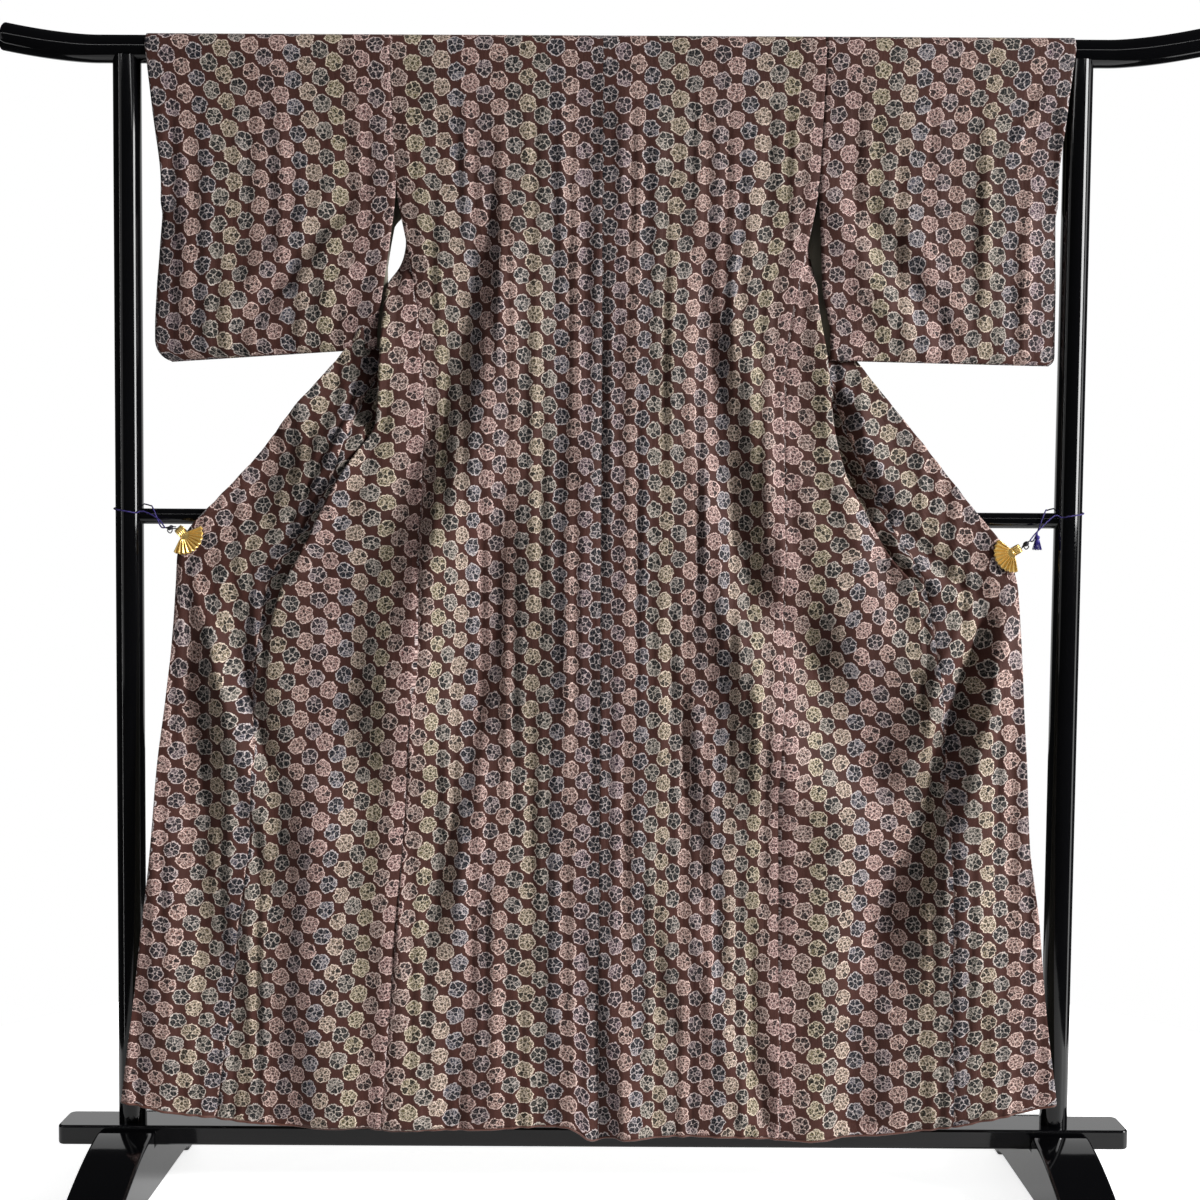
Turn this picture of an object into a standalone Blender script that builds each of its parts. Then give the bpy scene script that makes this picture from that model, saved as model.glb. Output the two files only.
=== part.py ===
"""A lined kimono hung over a lacquered kimono stand and seen from its back, with the fronts drawn out sideways.

Metres, +Z up. The floor is z = 0, the stand's middle is x = 0, y = 0, and the kimono's back faces -Y.
Distances across are measured outward from the centre seam, with side -1 for -X and +1 for +X.
"""
import math

import bmesh
import bpy
from mathutils import Vector

# Clearance between pieces that touch, and the thickness of the lined cloth
GAP = 0.0003
WALL = 0.002
COLLAR_WALL = 0.003

# Stand: top rod with lifted ends, two posts, a middle rail, a base beam and two feet
ROD_HALF = 0.8365
ROD_RADIUS = 0.019
ROD_Z = 1.622
ROD_STRAIGHT = 0.705
ROD_LIFT = 0.017
POST_X = 0.664
STAND_LEAN = 0.0065
POST_RADIUS = 0.0195
POST_SINK = 0.009
RAIL_Z = 0.973
RAIL_RADIUS = 0.011
BEAM_HALF = 0.764
BEAM_DEPTH = 0.066
BEAM_HEIGHT = 0.028
BEAM_TOP = 0.106
FOOT_LENGTH = 0.42
FOOT_WIDTH = 0.080
FOOT_SHOULDER = 0.099
FOOT_END_TOP = 0.058
FOOT_PAD = 0.045
FOOT_RELIEF = 0.010

# Cut of the kimono
FRONT_WIDTH = 0.237
NECK_HALF = 0.082
COLLAR_WIDTH = 0.057
ARMHOLE_Z = 1.437
SIDE_SEAM_Z = 1.292
CUFF_Z = 1.412
OKUMI_TOP_Z = 1.342
CLIP_Z = 0.942
HEM_Z = 0.110
HEM_BLEND_Z = 0.36
PLEAT_RADIUS = 0.004
SHOULDER_ANGLE = math.radians(40)
CENTRE_BULGE = 0.005
COLLAR_STEP = 0.004
COLLAR_LOOSE = 0.004

# Each row is one level: where the side seam, the edge of the underarm pleat, the okumi seam and the front edge lie
OUTLINE_COLUMNS = ("z", "side", "pleat", "okumi", "edge")
OUTLINE = {
    -1: (
        (1.622, 0.294, 0.294, 0.082, 0.082),
        (1.530, 0.291, 0.291, 0.118, 0.118),
        (1.437, 0.287, 0.287, 0.164, 0.164),
        (1.342, 0.270, 0.287, 0.241, 0.247),
        (1.292, 0.261, 0.301, 0.270, 0.289),
        (1.194, 0.252, 0.309, 0.309, 0.368),
        (1.110, 0.248, 0.314, 0.349, 0.440),
        (1.040, 0.249, 0.354, 0.369, 0.499),
        (0.998, 0.249, 0.380, 0.391, 0.537),
        (0.942, 0.251, 0.408, 0.426, 0.585),
        (0.914, 0.251, 0.422, 0.448, 0.594),
        (0.871, 0.252, 0.446, 0.468, 0.597),
        (0.801, 0.255, 0.462, 0.478, 0.600),
        (0.716, 0.261, 0.465, 0.486, 0.608),
        (0.631, 0.267, 0.465, 0.486, 0.620),
        (0.520, 0.274, 0.465, 0.492, 0.631),
        (0.374, 0.284, 0.465, 0.510, 0.651),
        (0.229, 0.296, 0.465, 0.527, 0.668),
        (0.110, 0.305, 0.465, 0.541, 0.682),
    ),
    1: (
        (1.622, 0.308, 0.308, 0.090, 0.090),
        (1.530, 0.305, 0.305, 0.132, 0.132),
        (1.437, 0.301, 0.301, 0.181, 0.181),
        (1.342, 0.284, 0.301, 0.241, 0.247),
        (1.292, 0.273, 0.301, 0.269, 0.287),
        (1.194, 0.257, 0.315, 0.312, 0.358),
        (1.110, 0.254, 0.324, 0.342, 0.425),
        (1.040, 0.255, 0.340, 0.371, 0.481),
        (0.998, 0.255, 0.361, 0.392, 0.514),
        (0.942, 0.256, 0.392, 0.418, 0.560),
        (0.914, 0.256, 0.410, 0.438, 0.576),
        (0.871, 0.255, 0.443, 0.458, 0.586),
        (0.801, 0.256, 0.451, 0.468, 0.589),
        (0.716, 0.256, 0.455, 0.479, 0.593),
        (0.631, 0.255, 0.455, 0.489, 0.599),
        (0.520, 0.255, 0.455, 0.492, 0.607),
        (0.374, 0.255, 0.455, 0.496, 0.628),
        (0.229, 0.256, 0.455, 0.500, 0.642),
        (0.110, 0.256, 0.455, 0.502, 0.656),
    ),
}

# How the section of a front turns: its heading at the side seam and between the two folds, in degrees from
# straight outward, and near the shoulder how much of it lies turned back beyond the second fold
TURN_COLUMNS = ("z", "start", "middle", "turned_back")
TURNS = (
    (1.622, 180, 180, 0.005),
    (1.530, 180, 180, 0.022),
    (1.437, 180, 180, 0.045),
    (1.342, 50, 180, 0.085),
    (1.292, 0, 180, 0.085),
    (0.914, 0, 180, 0.085),
    (0.871, 0, 115, 0.085),
    (0.801, 0, 40, 0.085),
    (0.716, 0, 0, 0.085),
)
LAST_PLEAT_LENGTH = 0.006
OKUMI_SEAM_GAP = 0.0005
ROW_STEP = 0.055
COLLAR_ROW_STEP = 0.045
OKUMI_SHARES = (0.0, 0.035, 0.16, 0.36, 0.60, 0.82, 1.0)

# Which way the collar band hangs from its seam, in degrees from straight down, by distance from the centre
COLLAR_COLUMNS = ("x", "slant")
COLLAR_SLANT = (
    (0.000, 0),
    (0.055, 14),
    (0.082, 36),
    (0.118, 55),
    (0.200, 50),
    (0.600, 50),
)

# Depth of the cloth: near is the back at its side edge, far is the edge of the front that joins the sleeve or seam
DEPTH_COLUMNS = ("z", "near", "far")
DEPTH = (
    (1.622, -0.0206, 0.0206),
    (1.530, -0.0198, 0.0150),
    (1.437, -0.0195, 0.0080),
    (1.342, -0.0220, -0.0140),
    (1.292, -0.0240, -0.0240),
    (1.194, -0.0300, -0.0300),
    (1.110, -0.0360, -0.0360),
    (0.998, -0.0420, -0.0420),
    (0.801, -0.0450, -0.0450),
    (0.520, -0.0470, -0.0470),
    (0.110, -0.0520, -0.0520),
)

# Drape folds: where each starts and ends, how wide it is and how far it goes in (+) or stands out (-)
FOLD_COLUMNS = ("side", "x_top", "z_top", "x_bottom", "z_bottom", "width", "depth")
FOLDS = (
    (-1, 0.575, 0.900, 0.545, 0.560, 0.016, 0.016),
    (-1, 0.560, 0.890, 0.480, 0.560, 0.018, -0.014),
    (-1, 0.530, 0.880, 0.420, 0.420, 0.022, 0.009),
    (-1, 0.460, 0.860, 0.400, 0.250, 0.028, -0.008),
    (-1, 0.340, 1.060, 0.330, 0.300, 0.026, 0.007),
    (-1, 0.300, 0.900, 0.290, 0.150, 0.024, -0.007),
    (-1, 0.215, 0.900, 0.225, 0.140, 0.024, 0.009),
    (-1, 0.160, 1.250, 0.150, 0.200, 0.028, -0.006),
    (-1, 0.090, 1.150, 0.085, 0.160, 0.026, 0.008),
    (-1, 0.030, 1.300, 0.035, 0.140, 0.022, -0.007),
    (-1, 0.590, 0.560, 0.610, 0.130, 0.030, -0.006),
    (1, 0.560, 0.880, 0.450, 0.480, 0.018, 0.018),
    (1, 0.575, 0.900, 0.520, 0.600, 0.016, -0.012),
    (1, 0.500, 0.900, 0.440, 0.600, 0.018, -0.010),
    (1, 0.420, 0.860, 0.370, 0.260, 0.028, 0.008),
    (1, 0.330, 1.000, 0.320, 0.200, 0.026, -0.008),
    (1, 0.235, 0.900, 0.240, 0.150, 0.022, 0.010),
    (1, 0.185, 1.080, 0.215, 0.500, 0.024, -0.009),
    (1, 0.130, 1.200, 0.120, 0.160, 0.026, 0.008),
    (1, 0.060, 1.300, 0.060, 0.140, 0.026, -0.007),
    (1, 0.570, 0.520, 0.590, 0.130, 0.030, -0.006),
)
FOLD_FADE = 0.16

# Height of the hem along the kimono, from -X to +X
HEM_COLUMNS = ("x", "z")
HEM = (
    (-0.690, 0.149),
    (-0.646, 0.142),
    (-0.580, 0.130),
    (-0.416, 0.114),
    (-0.251, 0.109),
    (-0.045, 0.117),
    (-0.004, 0.096),
    (0.012, 0.100),
    (0.146, 0.103),
    (0.287, 0.097),
    (0.353, 0.101),
    (0.494, 0.117),
    (0.577, 0.135),
    (0.670, 0.154),
)

# Sleeves: inner and outer edge, and the depth of the near and far layer at each end
SLEEVE_COLUMNS = ("z", "inner", "outer", "near_in", "far_in", "near_out", "far_out")
SLEEVES = {
    -1: (
        (1.622, 0.2943, 0.634, -0.0206, 0.0206, -0.0206, 0.0206),
        (1.530, 0.2913, 0.624, -0.0198, 0.0150, -0.0195, 0.0195),
        (1.437, 0.2873, 0.614, -0.0195, 0.0080, -0.0175, 0.0170),
        (1.342, 0.2970, 0.620, -0.0215, -0.0060, -0.0130, 0.0090),
        (1.292, 0.3045, 0.624, -0.0235, -0.0110, -0.0110, 0.0050),
        (1.230, 0.3125, 0.627, -0.0260, -0.0185, -0.0080, 0.0010),
        (1.180, 0.3135, 0.627, -0.0260, -0.0200, -0.0070, -0.0010),
    ),
    1: (
        (1.622, 0.3083, 0.654, -0.0206, 0.0206, -0.0206, 0.0206),
        (1.530, 0.3053, 0.643, -0.0198, 0.0150, -0.0195, 0.0195),
        (1.437, 0.3013, 0.634, -0.0195, 0.0080, -0.0175, 0.0170),
        (1.342, 0.3050, 0.635, -0.0215, -0.0060, -0.0130, 0.0090),
        (1.292, 0.3070, 0.636, -0.0235, -0.0110, -0.0110, 0.0050),
        (1.230, 0.3180, 0.636, -0.0260, -0.0185, -0.0080, 0.0010),
        (1.180, 0.3190, 0.636, -0.0260, -0.0200, -0.0070, -0.0010),
    ),
}
SLEEVE_BOTTOM = {-1: (1.207, 1.190), 1: (1.194, 1.190)}
SLEEVE_CORNER = {-1: 0.030, 1: 0.012}

# Clips and their cords: head of the clip, direction of its fan, and where the cord meets the post
CLIP_HEAD = {-1: (0.6035, 0.955), 1: (0.5945, 0.943)}
CLIP_ANGLE = {-1: 218, 1: 214}
CLIP_SPREAD = math.radians(34)
CLIP_INNER = 0.010
CLIP_OUTER = 0.045
CLIP_HALF = 0.0062
CLIP_WALL = 0.0012
CLIP_RIB = 0.0010
CLIP_RIBS = 9
CORD_RADIUS = 0.0010

# Outline of the tassel, from its stem down
TASSEL_COLUMNS = ("radius", "z")
TASSEL = (
    (0.0000, 0.0000),
    (0.0007, -0.0004),
    (0.0008, -0.0040),
    (0.0028, -0.0052),
    (0.0030, -0.0074),
    (0.0020, -0.0092),
    (0.0034, -0.0120),
    (0.0046, -0.0220),
    (0.0000, -0.0220),
)


def between(table, columns, key, value, wanted):
    """Value of one column of a table, in proportion between the rows on either side of a key."""
    k, w = columns.index(key), columns.index(wanted)
    rows = sorted(table, key=lambda row: row[k])
    if value <= rows[0][k]:
        return rows[0][w]
    for low, high in zip(rows, rows[1:]):
        if value <= high[k]:
            return low[w] + (high[w] - low[w]) * (value - low[k]) / (high[k] - low[k])
    return rows[-1][w]


def outline(side, z, column):
    return between(OUTLINE[side], OUTLINE_COLUMNS, "z", z, column)


def turn(z, column):
    return between(TURNS, TURN_COLUMNS, "z", z, column)


def depth(z, column):
    return between(DEPTH, DEPTH_COLUMNS, "z", z, column)


def sleeve(side, z, column):
    return between(SLEEVES[side], SLEEVE_COLUMNS, "z", z, column)


def hem_height(side, x, z):
    """Lowers or lifts a point near the bottom so that the last row follows the hem."""
    share = min(max((HEM_BLEND_Z - z) / (HEM_BLEND_Z - HEM_Z), 0.0), 1.0)
    return z + share * (between(HEM, HEM_COLUMNS, "x", side * x, "z") - HEM_Z)


def smooth(t):
    t = min(max(t, 0.0), 1.0)
    return t * t * (3 - 2 * t)


def folds(side, x, z):
    """How far the drape folds move the cloth in depth at a place."""
    total = 0.0
    for row in FOLDS:
        fold = dict(zip(FOLD_COLUMNS, row))
        if fold["side"] != side:
            continue
        along = (fold["z_top"] - z) / (fold["z_top"] - fold["z_bottom"])
        middle = fold["x_top"] + (fold["x_bottom"] - fold["x_top"]) * along
        fade = smooth((fold["z_top"] - z) / FOLD_FADE)
        if fold["z_bottom"] > HEM_BLEND_Z:
            fade *= smooth((z - fold["z_bottom"] + FOLD_FADE / 2) / FOLD_FADE)
        total += fold["depth"] * fade * math.exp(-(((x - middle) / fold["width"]) ** 2))
    return total


def levels(top, bottom, step, table=None):
    """Heights from top to bottom, with those of a table between them kept."""
    marks = [top, bottom] + [row[0] for row in (table or ()) if bottom < row[0] < top]
    marks = sorted(set(marks), reverse=True)
    heights = []
    for high, low in zip(marks, marks[1:]):
        count = max(1, round((high - low) / step))
        heights += [high - (high - low) * i / count for i in range(count)]
    return heights + [bottom]


def material(name, color, roughness, metallic=0.0, coat=0.0):
    made = bpy.data.materials.new(name)
    made.use_nodes = True
    shader = made.node_tree.nodes["Principled BSDF"]
    shader.inputs["Base Color"].default_value = (*color, 1)
    shader.inputs["Roughness"].default_value = roughness
    shader.inputs["Metallic"].default_value = metallic
    shader.inputs["Coat Weight"].default_value = coat
    return made


def add_object(name, data, look, collection):
    made = bpy.data.objects.new(name, data)
    collection.objects.link(made)
    if look:
        data.materials.append(look)
    return made


def sheet(name, rows, look, collection, wall=WALL, closed=False):
    """A cloth wall: a grid of rows of points on its middle, thickened by half its wall to each side."""
    mesh = bmesh.new()
    verts = [[mesh.verts.new(point) for point in row] for row in rows]
    across = len(rows[0])
    for upper, lower in zip(verts, verts[1:]):
        for i in range(across if closed else across - 1):
            j = (i + 1) % across
            mesh.faces.new((upper[i], upper[j], lower[j], lower[i]))
    bmesh.ops.remove_doubles(mesh, verts=mesh.verts, dist=0.00001)
    bmesh.ops.recalc_face_normals(mesh, faces=mesh.faces)
    data = bpy.data.meshes.new(name)
    mesh.to_mesh(data)
    mesh.free()
    data.shade_smooth()
    made = add_object(name, data, look, collection)
    thick = made.modifiers.new("thickness", "SOLIDIFY")
    thick.thickness = wall
    thick.offset = 0
    thick.use_even_offset = True
    thick.use_quality_normals = True
    return made


def over_rod(x, start, end, count, lift=0.0):
    """Points round the rod at one x, by angle from straight up and with +Y positive, clear of it between points too."""
    points = []
    radius = (ROD_RADIUS + GAP) / math.cos((end - start) / (count - 1) / 2) + WALL / 2 + lift
    for i in range(count):
        a = start + (end - start) * i / (count - 1)
        points.append((x, radius * math.sin(a), ROD_Z + radius * math.cos(a)))
    return points


def back_depth(side, x, z):
    """Middle of the back panel's wall."""
    span = outline(side, z, "side")
    rise = smooth((ROD_Z - z) / 0.25)
    bulge = CENTRE_BULGE * rise * (1 - (x / span) ** 2)
    inside = smooth((span - x) / 0.03) if z > CLIP_Z else 1.0
    return depth(z, "near") - bulge + folds(side, x, z) * inside


def build_back(side, name, look, collection):
    """One back panel, from the far side of the rod's top down to the hem."""
    count = 12
    shoulder = 7
    rows = []
    top_x = [side * (GAP / 2 + (outline(side, ROD_Z, "side") - GAP / 2) * i / count) for i in range(count + 1)]
    arcs = [over_rod(x, SHOULDER_ANGLE, -math.pi / 2, shoulder) for x in top_x]
    for k in range(shoulder - 1):
        rows.append([arc[k] for arc in arcs])
    for z in levels(ROD_Z, HEM_Z, ROW_STEP, OUTLINE[side]):
        edge = outline(side, z, "side")
        row = []
        for i in range(count + 1):
            x = GAP / 2 + (edge - GAP / 2) * i / count
            row.append((side * x, back_depth(side, x, z), hem_height(side, x, z)))
        rows.append(row)
    return sheet(name, rows, look, collection)


def front_section(side, z):
    """Section of a front at one height, as distances outward and in depth: strip, fold, hidden layer, fold, strip."""
    begin = outline(side, z, "side") + (GAP if z < SIDE_SEAM_Z + 0.01 else -GAP)
    end = outline(side, z, "okumi")
    start, middle = math.radians(turn(z, "start")), math.radians(turn(z, "middle"))
    radius = PLEAT_RADIUS
    strip = outline(side, z, "pleat") - begin - radius * math.sin(min(middle, math.pi / 2)) - WALL / 2
    strip = max(strip, 0.0) * math.cos(min(start, math.pi / 2))
    x, y = begin, 0.0
    path = []

    def run(length, heading, count):
        nonlocal x, y
        for i in range(count):
            path.append((x + length * math.cos(heading) * i / count, y + length * math.sin(heading) * i / count))
        x += length * math.cos(heading)
        y += length * math.sin(heading)

    def bend(heading, after, count):
        nonlocal x, y
        sign = 1 if after >= heading else -1
        cx, cy = x - sign * radius * math.sin(heading), y + sign * radius * math.cos(heading)
        for i in range(count):
            a = heading + (after - heading) * i / count
            path.append((cx + sign * radius * math.sin(a), cy - sign * radius * math.cos(a)))
        x, y = cx + sign * radius * math.sin(after), cy - sign * radius * math.cos(after)

    run(strip, start, 3)
    bend(start, middle, 4)
    in_folds = radius * (middle - start) + radius * middle
    if z > OKUMI_TOP_Z:
        hidden = x - end + turn(z, "turned_back")
    else:
        hidden = (FRONT_WIDTH - strip - in_folds - (end - x)) / 2
    if middle < math.pi:
        hidden = 0.0
    hidden = max(hidden, LAST_PLEAT_LENGTH) * smooth(middle / math.radians(40))
    run(hidden, middle, 4)
    bend(middle, 0.0, 4)
    for i in range(6):
        path.append((x + (end - x) * i / 5, y))
    return path


def front_depth(side, x, z):
    """Depth that the drape gives a front at a place, before its pleat is added."""
    return depth(z, "far") + folds(side, x, z) * smooth((x - outline(side, z, "side") + 0.01) / 0.04)


def build_front(side, name, look, collection):
    rows = []
    shoulder = 4
    start = SHOULDER_ANGLE + 2 * GAP / ROD_RADIUS
    arcs = [over_rod(side * x, start, math.pi / 2, shoulder, y) for x, y in front_section(side, ROD_Z)]
    for k in range(shoulder):
        rows.append([arc[k] for arc in arcs])
    for z in levels(ROD_Z, HEM_Z, ROW_STEP, OUTLINE[side])[1:]:
        row = []
        for x, y in front_section(side, z):
            row.append((side * x, y + front_depth(side, x, z), hem_height(side, x, z)))
        rows.append(row)
    return sheet(name, rows, look, collection)


def outer_layer(side, z):
    """How far behind the seam's layer the outermost stretch of the front lies."""
    return front_section(side, z)[-1][1]


def build_okumi(side, name, look, collection):
    rows = []
    for z in levels(OKUMI_TOP_Z, HEM_Z, ROW_STEP, OUTLINE[side]):
        inner, outer = outline(side, z, "okumi") + OKUMI_SEAM_GAP, outline(side, z, "edge")
        behind = outer_layer(side, z)
        row = []
        for share in OKUMI_SHARES:
            x = inner + (outer - inner) * share
            row.append((side * x, behind + front_depth(side, x, z), hem_height(side, x, z)))
        rows.append(row)
    return sheet(name, rows, look, collection)


def collar_depth(side, x, z):
    """The collar lies behind the outermost layer, further off where that layer twists at the underarm."""
    loose = COLLAR_LOOSE * math.exp(-(((z - OKUMI_TOP_Z - 0.04) / 0.09) ** 2))
    return outer_layer(side, z) + front_depth(side, x, z) + COLLAR_STEP + loose


def build_collar(name, look, collection):
    """The folded collar band: up behind one front edge, round the back of the neck and down behind the other."""
    paths = {}
    for side in (-1, 1):
        edge = []
        for z in levels(ROD_Z - 0.014, CLIP_Z + 0.004, COLLAR_ROW_STEP, OUTLINE[side]):
            x = outline(side, z, "edge")
            edge.append(Vector((side * (x - 0.001), collar_depth(side, x, z), z)))
        paths[side] = edge
    neck_y = paths[-1][0].y
    neck = [Vector((x, neck_y, ROD_Z - 0.003)) for x in (-0.055, -0.02, 0.02, 0.055)]
    line = list(reversed(paths[-1])) + neck + paths[1]
    rows = []
    for point in line:
        slant = math.radians(between(COLLAR_SLANT, COLLAR_COLUMNS, "x", abs(point.x), "slant"))
        side = -1 if point.x < 0 else 1
        down = Vector((-side * math.sin(slant), 0, -math.cos(slant)))
        row = []
        for k in range(4):
            spot = point + down * (COLLAR_WIDTH * k / 3)
            if abs(point.x) > NECK_HALF - 0.001:
                spot.y = collar_depth(side, abs(spot.x), spot.z)
            row.append(tuple(spot))
        rows.append(row)
    return sheet(name, rows, look, collection, wall=COLLAR_WALL)


def build_sleeve(side, name, look, collection):
    """A sleeve is a flat tube over the rod: open at the cuff and the body, sewn along its outer edge and bottom."""
    rows = []
    across = 9
    heights = (1.0, 0.86, 0.72, 0.56, 0.50, 0.36, 0.22, 0.10, 0.035)
    for i in range(across + 1):
        share = (1 - (1 - i / across) ** 1.4)
        bottom = SLEEVE_BOTTOM[side][0] + (SLEEVE_BOTTOM[side][1] - SLEEVE_BOTTOM[side][0]) * share
        near, far = [], []
        last = i == across
        for t in heights:
            z = bottom + (ROD_Z - bottom) * t
            inner, outer = sleeve(side, z, "inner"), sleeve(side, z, "outer")
            corner = SLEEVE_CORNER[side]
            drop = max(corner - (z - bottom), 0.0)
            outer -= corner - math.sqrt(corner**2 - drop**2)
            x = inner + (outer - inner) * share
            near_y = sleeve(side, z, "near_in") * (1 - share) + sleeve(side, z, "near_out") * share
            far_y = sleeve(side, z, "far_in") * (1 - share) + sleeve(side, z, "far_out") * share
            if last and z < CUFF_Z:
                near_y = far_y = (near_y + far_y) / 2
            near.append((side * x, near_y, z))
            far.append((side * x, far_y, z))
        inner, outer = sleeve(side, bottom, "inner"), sleeve(side, bottom, "outer") - SLEEVE_CORNER[side]
        low_x = side * (inner + (outer - inner) * share)
        low_y = (near[-1][1] + far[-1][1]) / 2
        top = over_rod(near[0][0], -math.pi / 2, math.pi / 2, 10)
        loop = list(reversed(near))[:-1] + top + far[1:] + [(low_x, low_y, bottom)]
        rows.append(loop)
    return sheet(name, rows, look, collection, closed=True)


def curve_tube(name, points, radius, look, collection, sides=4, cyclic=False):
    data = bpy.data.curves.new(name, "CURVE")
    data.dimensions = "3D"
    data.bevel_depth = radius
    data.bevel_resolution = sides
    data.use_fill_caps = True
    spline = data.splines.new("POLY")
    spline.points.add(len(points) - 1)
    for spot, point in zip(spline.points, points):
        spot.co = (*point, 1)
    spline.use_smooth = True
    spline.use_cyclic_u = cyclic
    return add_object(name, data, look, collection)


def rod_lift(x):
    """The rod is straight between the posts and curls up gently towards its ends."""
    beyond = max(abs(x) - ROD_STRAIGHT, 0.0) / (ROD_HALF - ROD_STRAIGHT)
    return ROD_LIFT * beyond**1.6


def post_x(side, z):
    """The posts lean sideways by a few millimetres between the beam and the rod."""
    return side * POST_X - STAND_LEAN * (ROD_Z - z) / (ROD_Z - BEAM_TOP)


def cylinder(name, radius, start, end, look, collection, sides=28):
    """A round bar between two points."""
    start, end = Vector(start), Vector(end)
    mesh = bmesh.new()
    bmesh.ops.create_cone(mesh, cap_ends=True, segments=sides, radius1=radius, radius2=radius, depth=(end - start).length)
    data = bpy.data.meshes.new(name)
    mesh.to_mesh(data)
    mesh.free()
    data.shade_smooth()
    data.set_sharp_from_angle(angle=math.radians(40))
    made = add_object(name, data, look, collection)
    made.location = (start + end) / 2
    made.rotation_euler = (end - start).to_track_quat("Z", "Y").to_euler()
    return made


def cut(target, cutter):
    change = target.modifiers.new("cut", "BOOLEAN")
    change.operation = "DIFFERENCE"
    change.object = cutter
    change.solver = "EXACT"


def build_stand(look, collection, cutters):
    steps = 7
    bends = [ROD_STRAIGHT + (ROD_HALF - ROD_STRAIGHT) * i / steps for i in range(steps + 1)]
    xs = [-x for x in reversed(bends)] + bends
    points = [(x, 0, ROD_Z + rod_lift(x)) for x in xs]
    curve_tube("top_rod", points, ROD_RADIUS, look, collection, sides=10)

    rod_cutter = cylinder("cutter_rod", ROD_RADIUS + GAP, (-1, 0, ROD_Z), (1, 0, ROD_Z), None, cutters, sides=44)
    posts = {}
    for side, name in ((-1, "post_left"), (1, "post_right")):
        ends = [(post_x(side, z), 0, z) for z in (BEAM_TOP + GAP, ROD_Z - POST_SINK)]
        posts[side] = cylinder(name, POST_RADIUS, *ends, look, collection)
        cut(posts[side], rod_cutter)
        ends = [(post_x(side, z), 0, z) for z in (0, 2)]
        cylinder("cutter_" + name, POST_RADIUS + GAP, *ends, None, cutters, sides=28)
    ends = [(post_x(side, RAIL_Z) - side * POST_RADIUS / 2, 0, RAIL_Z) for side in (-1, 1)]
    rail = cylinder("middle_rail", RAIL_RADIUS, *ends, look, collection, sides=20)
    for name in ("cutter_post_left", "cutter_post_right"):
        cut(rail, cutters.objects[name])

    beam = bmesh.new()
    bmesh.ops.create_cube(beam, size=1)
    size = Vector((2 * BEAM_HALF, BEAM_DEPTH, BEAM_HEIGHT))
    bmesh.ops.scale(beam, vec=size, verts=beam.verts)
    data = bpy.data.meshes.new("base_beam")
    beam.to_mesh(data)
    beam.free()
    made = add_object("base_beam", data, look, collection)
    made.location = (-STAND_LEAN, 0, BEAM_TOP - BEAM_HEIGHT / 2)
    edge = made.modifiers.new("rounded", "BEVEL")
    edge.width = 0.003
    edge.segments = 2
    for side, name in ((-1, "foot_left"), (1, "foot_right")):
        build_foot(side, name, look, collection)


def foot_profile():
    """Half outline of a foot from the side, from the middle of its seat round to the middle of its underside."""
    half = FOOT_LENGTH / 2
    seat = BEAM_DEPTH / 2 + GAP
    seat_z = BEAM_TOP - BEAM_HEIGHT - GAP
    points = [(0, seat_z), (seat, seat_z), (seat, FOOT_SHOULDER - 0.004), (seat + 0.004, FOOT_SHOULDER)]
    steps = 8
    for i in range(1, steps + 1):
        t = i / steps
        y = seat + 0.004 + (half - 0.028 - seat - 0.004) * t
        points.append((y, FOOT_SHOULDER + (FOOT_END_TOP - FOOT_SHOULDER) * t**1.5))
    points += [(half - 0.014, FOOT_END_TOP - 0.006), (half - 0.004, FOOT_END_TOP - 0.020), (half, FOOT_END_TOP - 0.036)]
    points += [(half, 0.0), (half - FOOT_PAD, 0.0), (half - FOOT_PAD - 0.012, FOOT_RELIEF), (0, FOOT_RELIEF)]
    return points


def build_foot(side, name, look, collection):
    half = foot_profile()
    ring = half + [(-y, z) for y, z in reversed(half[1:-1])]
    mesh = bmesh.new()
    verts = [mesh.verts.new((-FOOT_WIDTH / 2, y, z)) for y, z in ring]
    face = mesh.faces.new(verts)
    pushed = bmesh.ops.extrude_face_region(mesh, geom=[face])
    moved = [v for v in pushed["geom"] if isinstance(v, bmesh.types.BMVert)]
    bmesh.ops.translate(mesh, vec=(FOOT_WIDTH, 0, 0), verts=moved)
    bmesh.ops.recalc_face_normals(mesh, faces=mesh.faces)
    data = bpy.data.meshes.new(name)
    mesh.to_mesh(data)
    mesh.free()
    made = add_object(name, data, look, collection)
    made.location = (side * POST_X - STAND_LEAN, 0, 0)


def clip_centre(side):
    """Depth of the middle of the cloth that the clip holds."""
    z = CLIP_Z
    x = outline(side, z, "edge")
    return outer_layer(side, z) + front_depth(side, x, z) + (COLLAR_STEP + COLLAR_WALL / 2 - WALL / 2) / 2


def build_clip(side, name, look, collection):
    """A pleated metal fan folded over at its head, with the cloth's corner between its two leaves."""
    head_x, head_z = CLIP_HEAD[side]
    axis = math.radians(CLIP_ANGLE[side])
    centre = clip_centre(side)
    rows = []
    for k in range(CLIP_RIBS * 2 + 1):
        share = k / (CLIP_RIBS * 2)
        a = axis + CLIP_SPREAD * (2 * share - 1)
        rib = CLIP_RIB if k % 2 else -CLIP_RIB
        path = [(CLIP_OUTER - (CLIP_OUTER - CLIP_INNER) * i / 2, -CLIP_HALF, -rib * (1 - i / 2)) for i in range(2)]
        for i in range(4):
            b = math.pi * i / 3
            path.append((CLIP_INNER - CLIP_HALF * math.sin(b) * 0.9, -CLIP_HALF * math.cos(b), 0))
        path.append((CLIP_OUTER - 0.006, CLIP_HALF, 0))
        rows.append([
            (side * (head_x + r * math.cos(a)), centre + y + rib_y, head_z + r * math.sin(a)) for r, y, rib_y in path
        ])
    return sheet(name, rows, look, collection, wall=CLIP_WALL)


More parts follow.
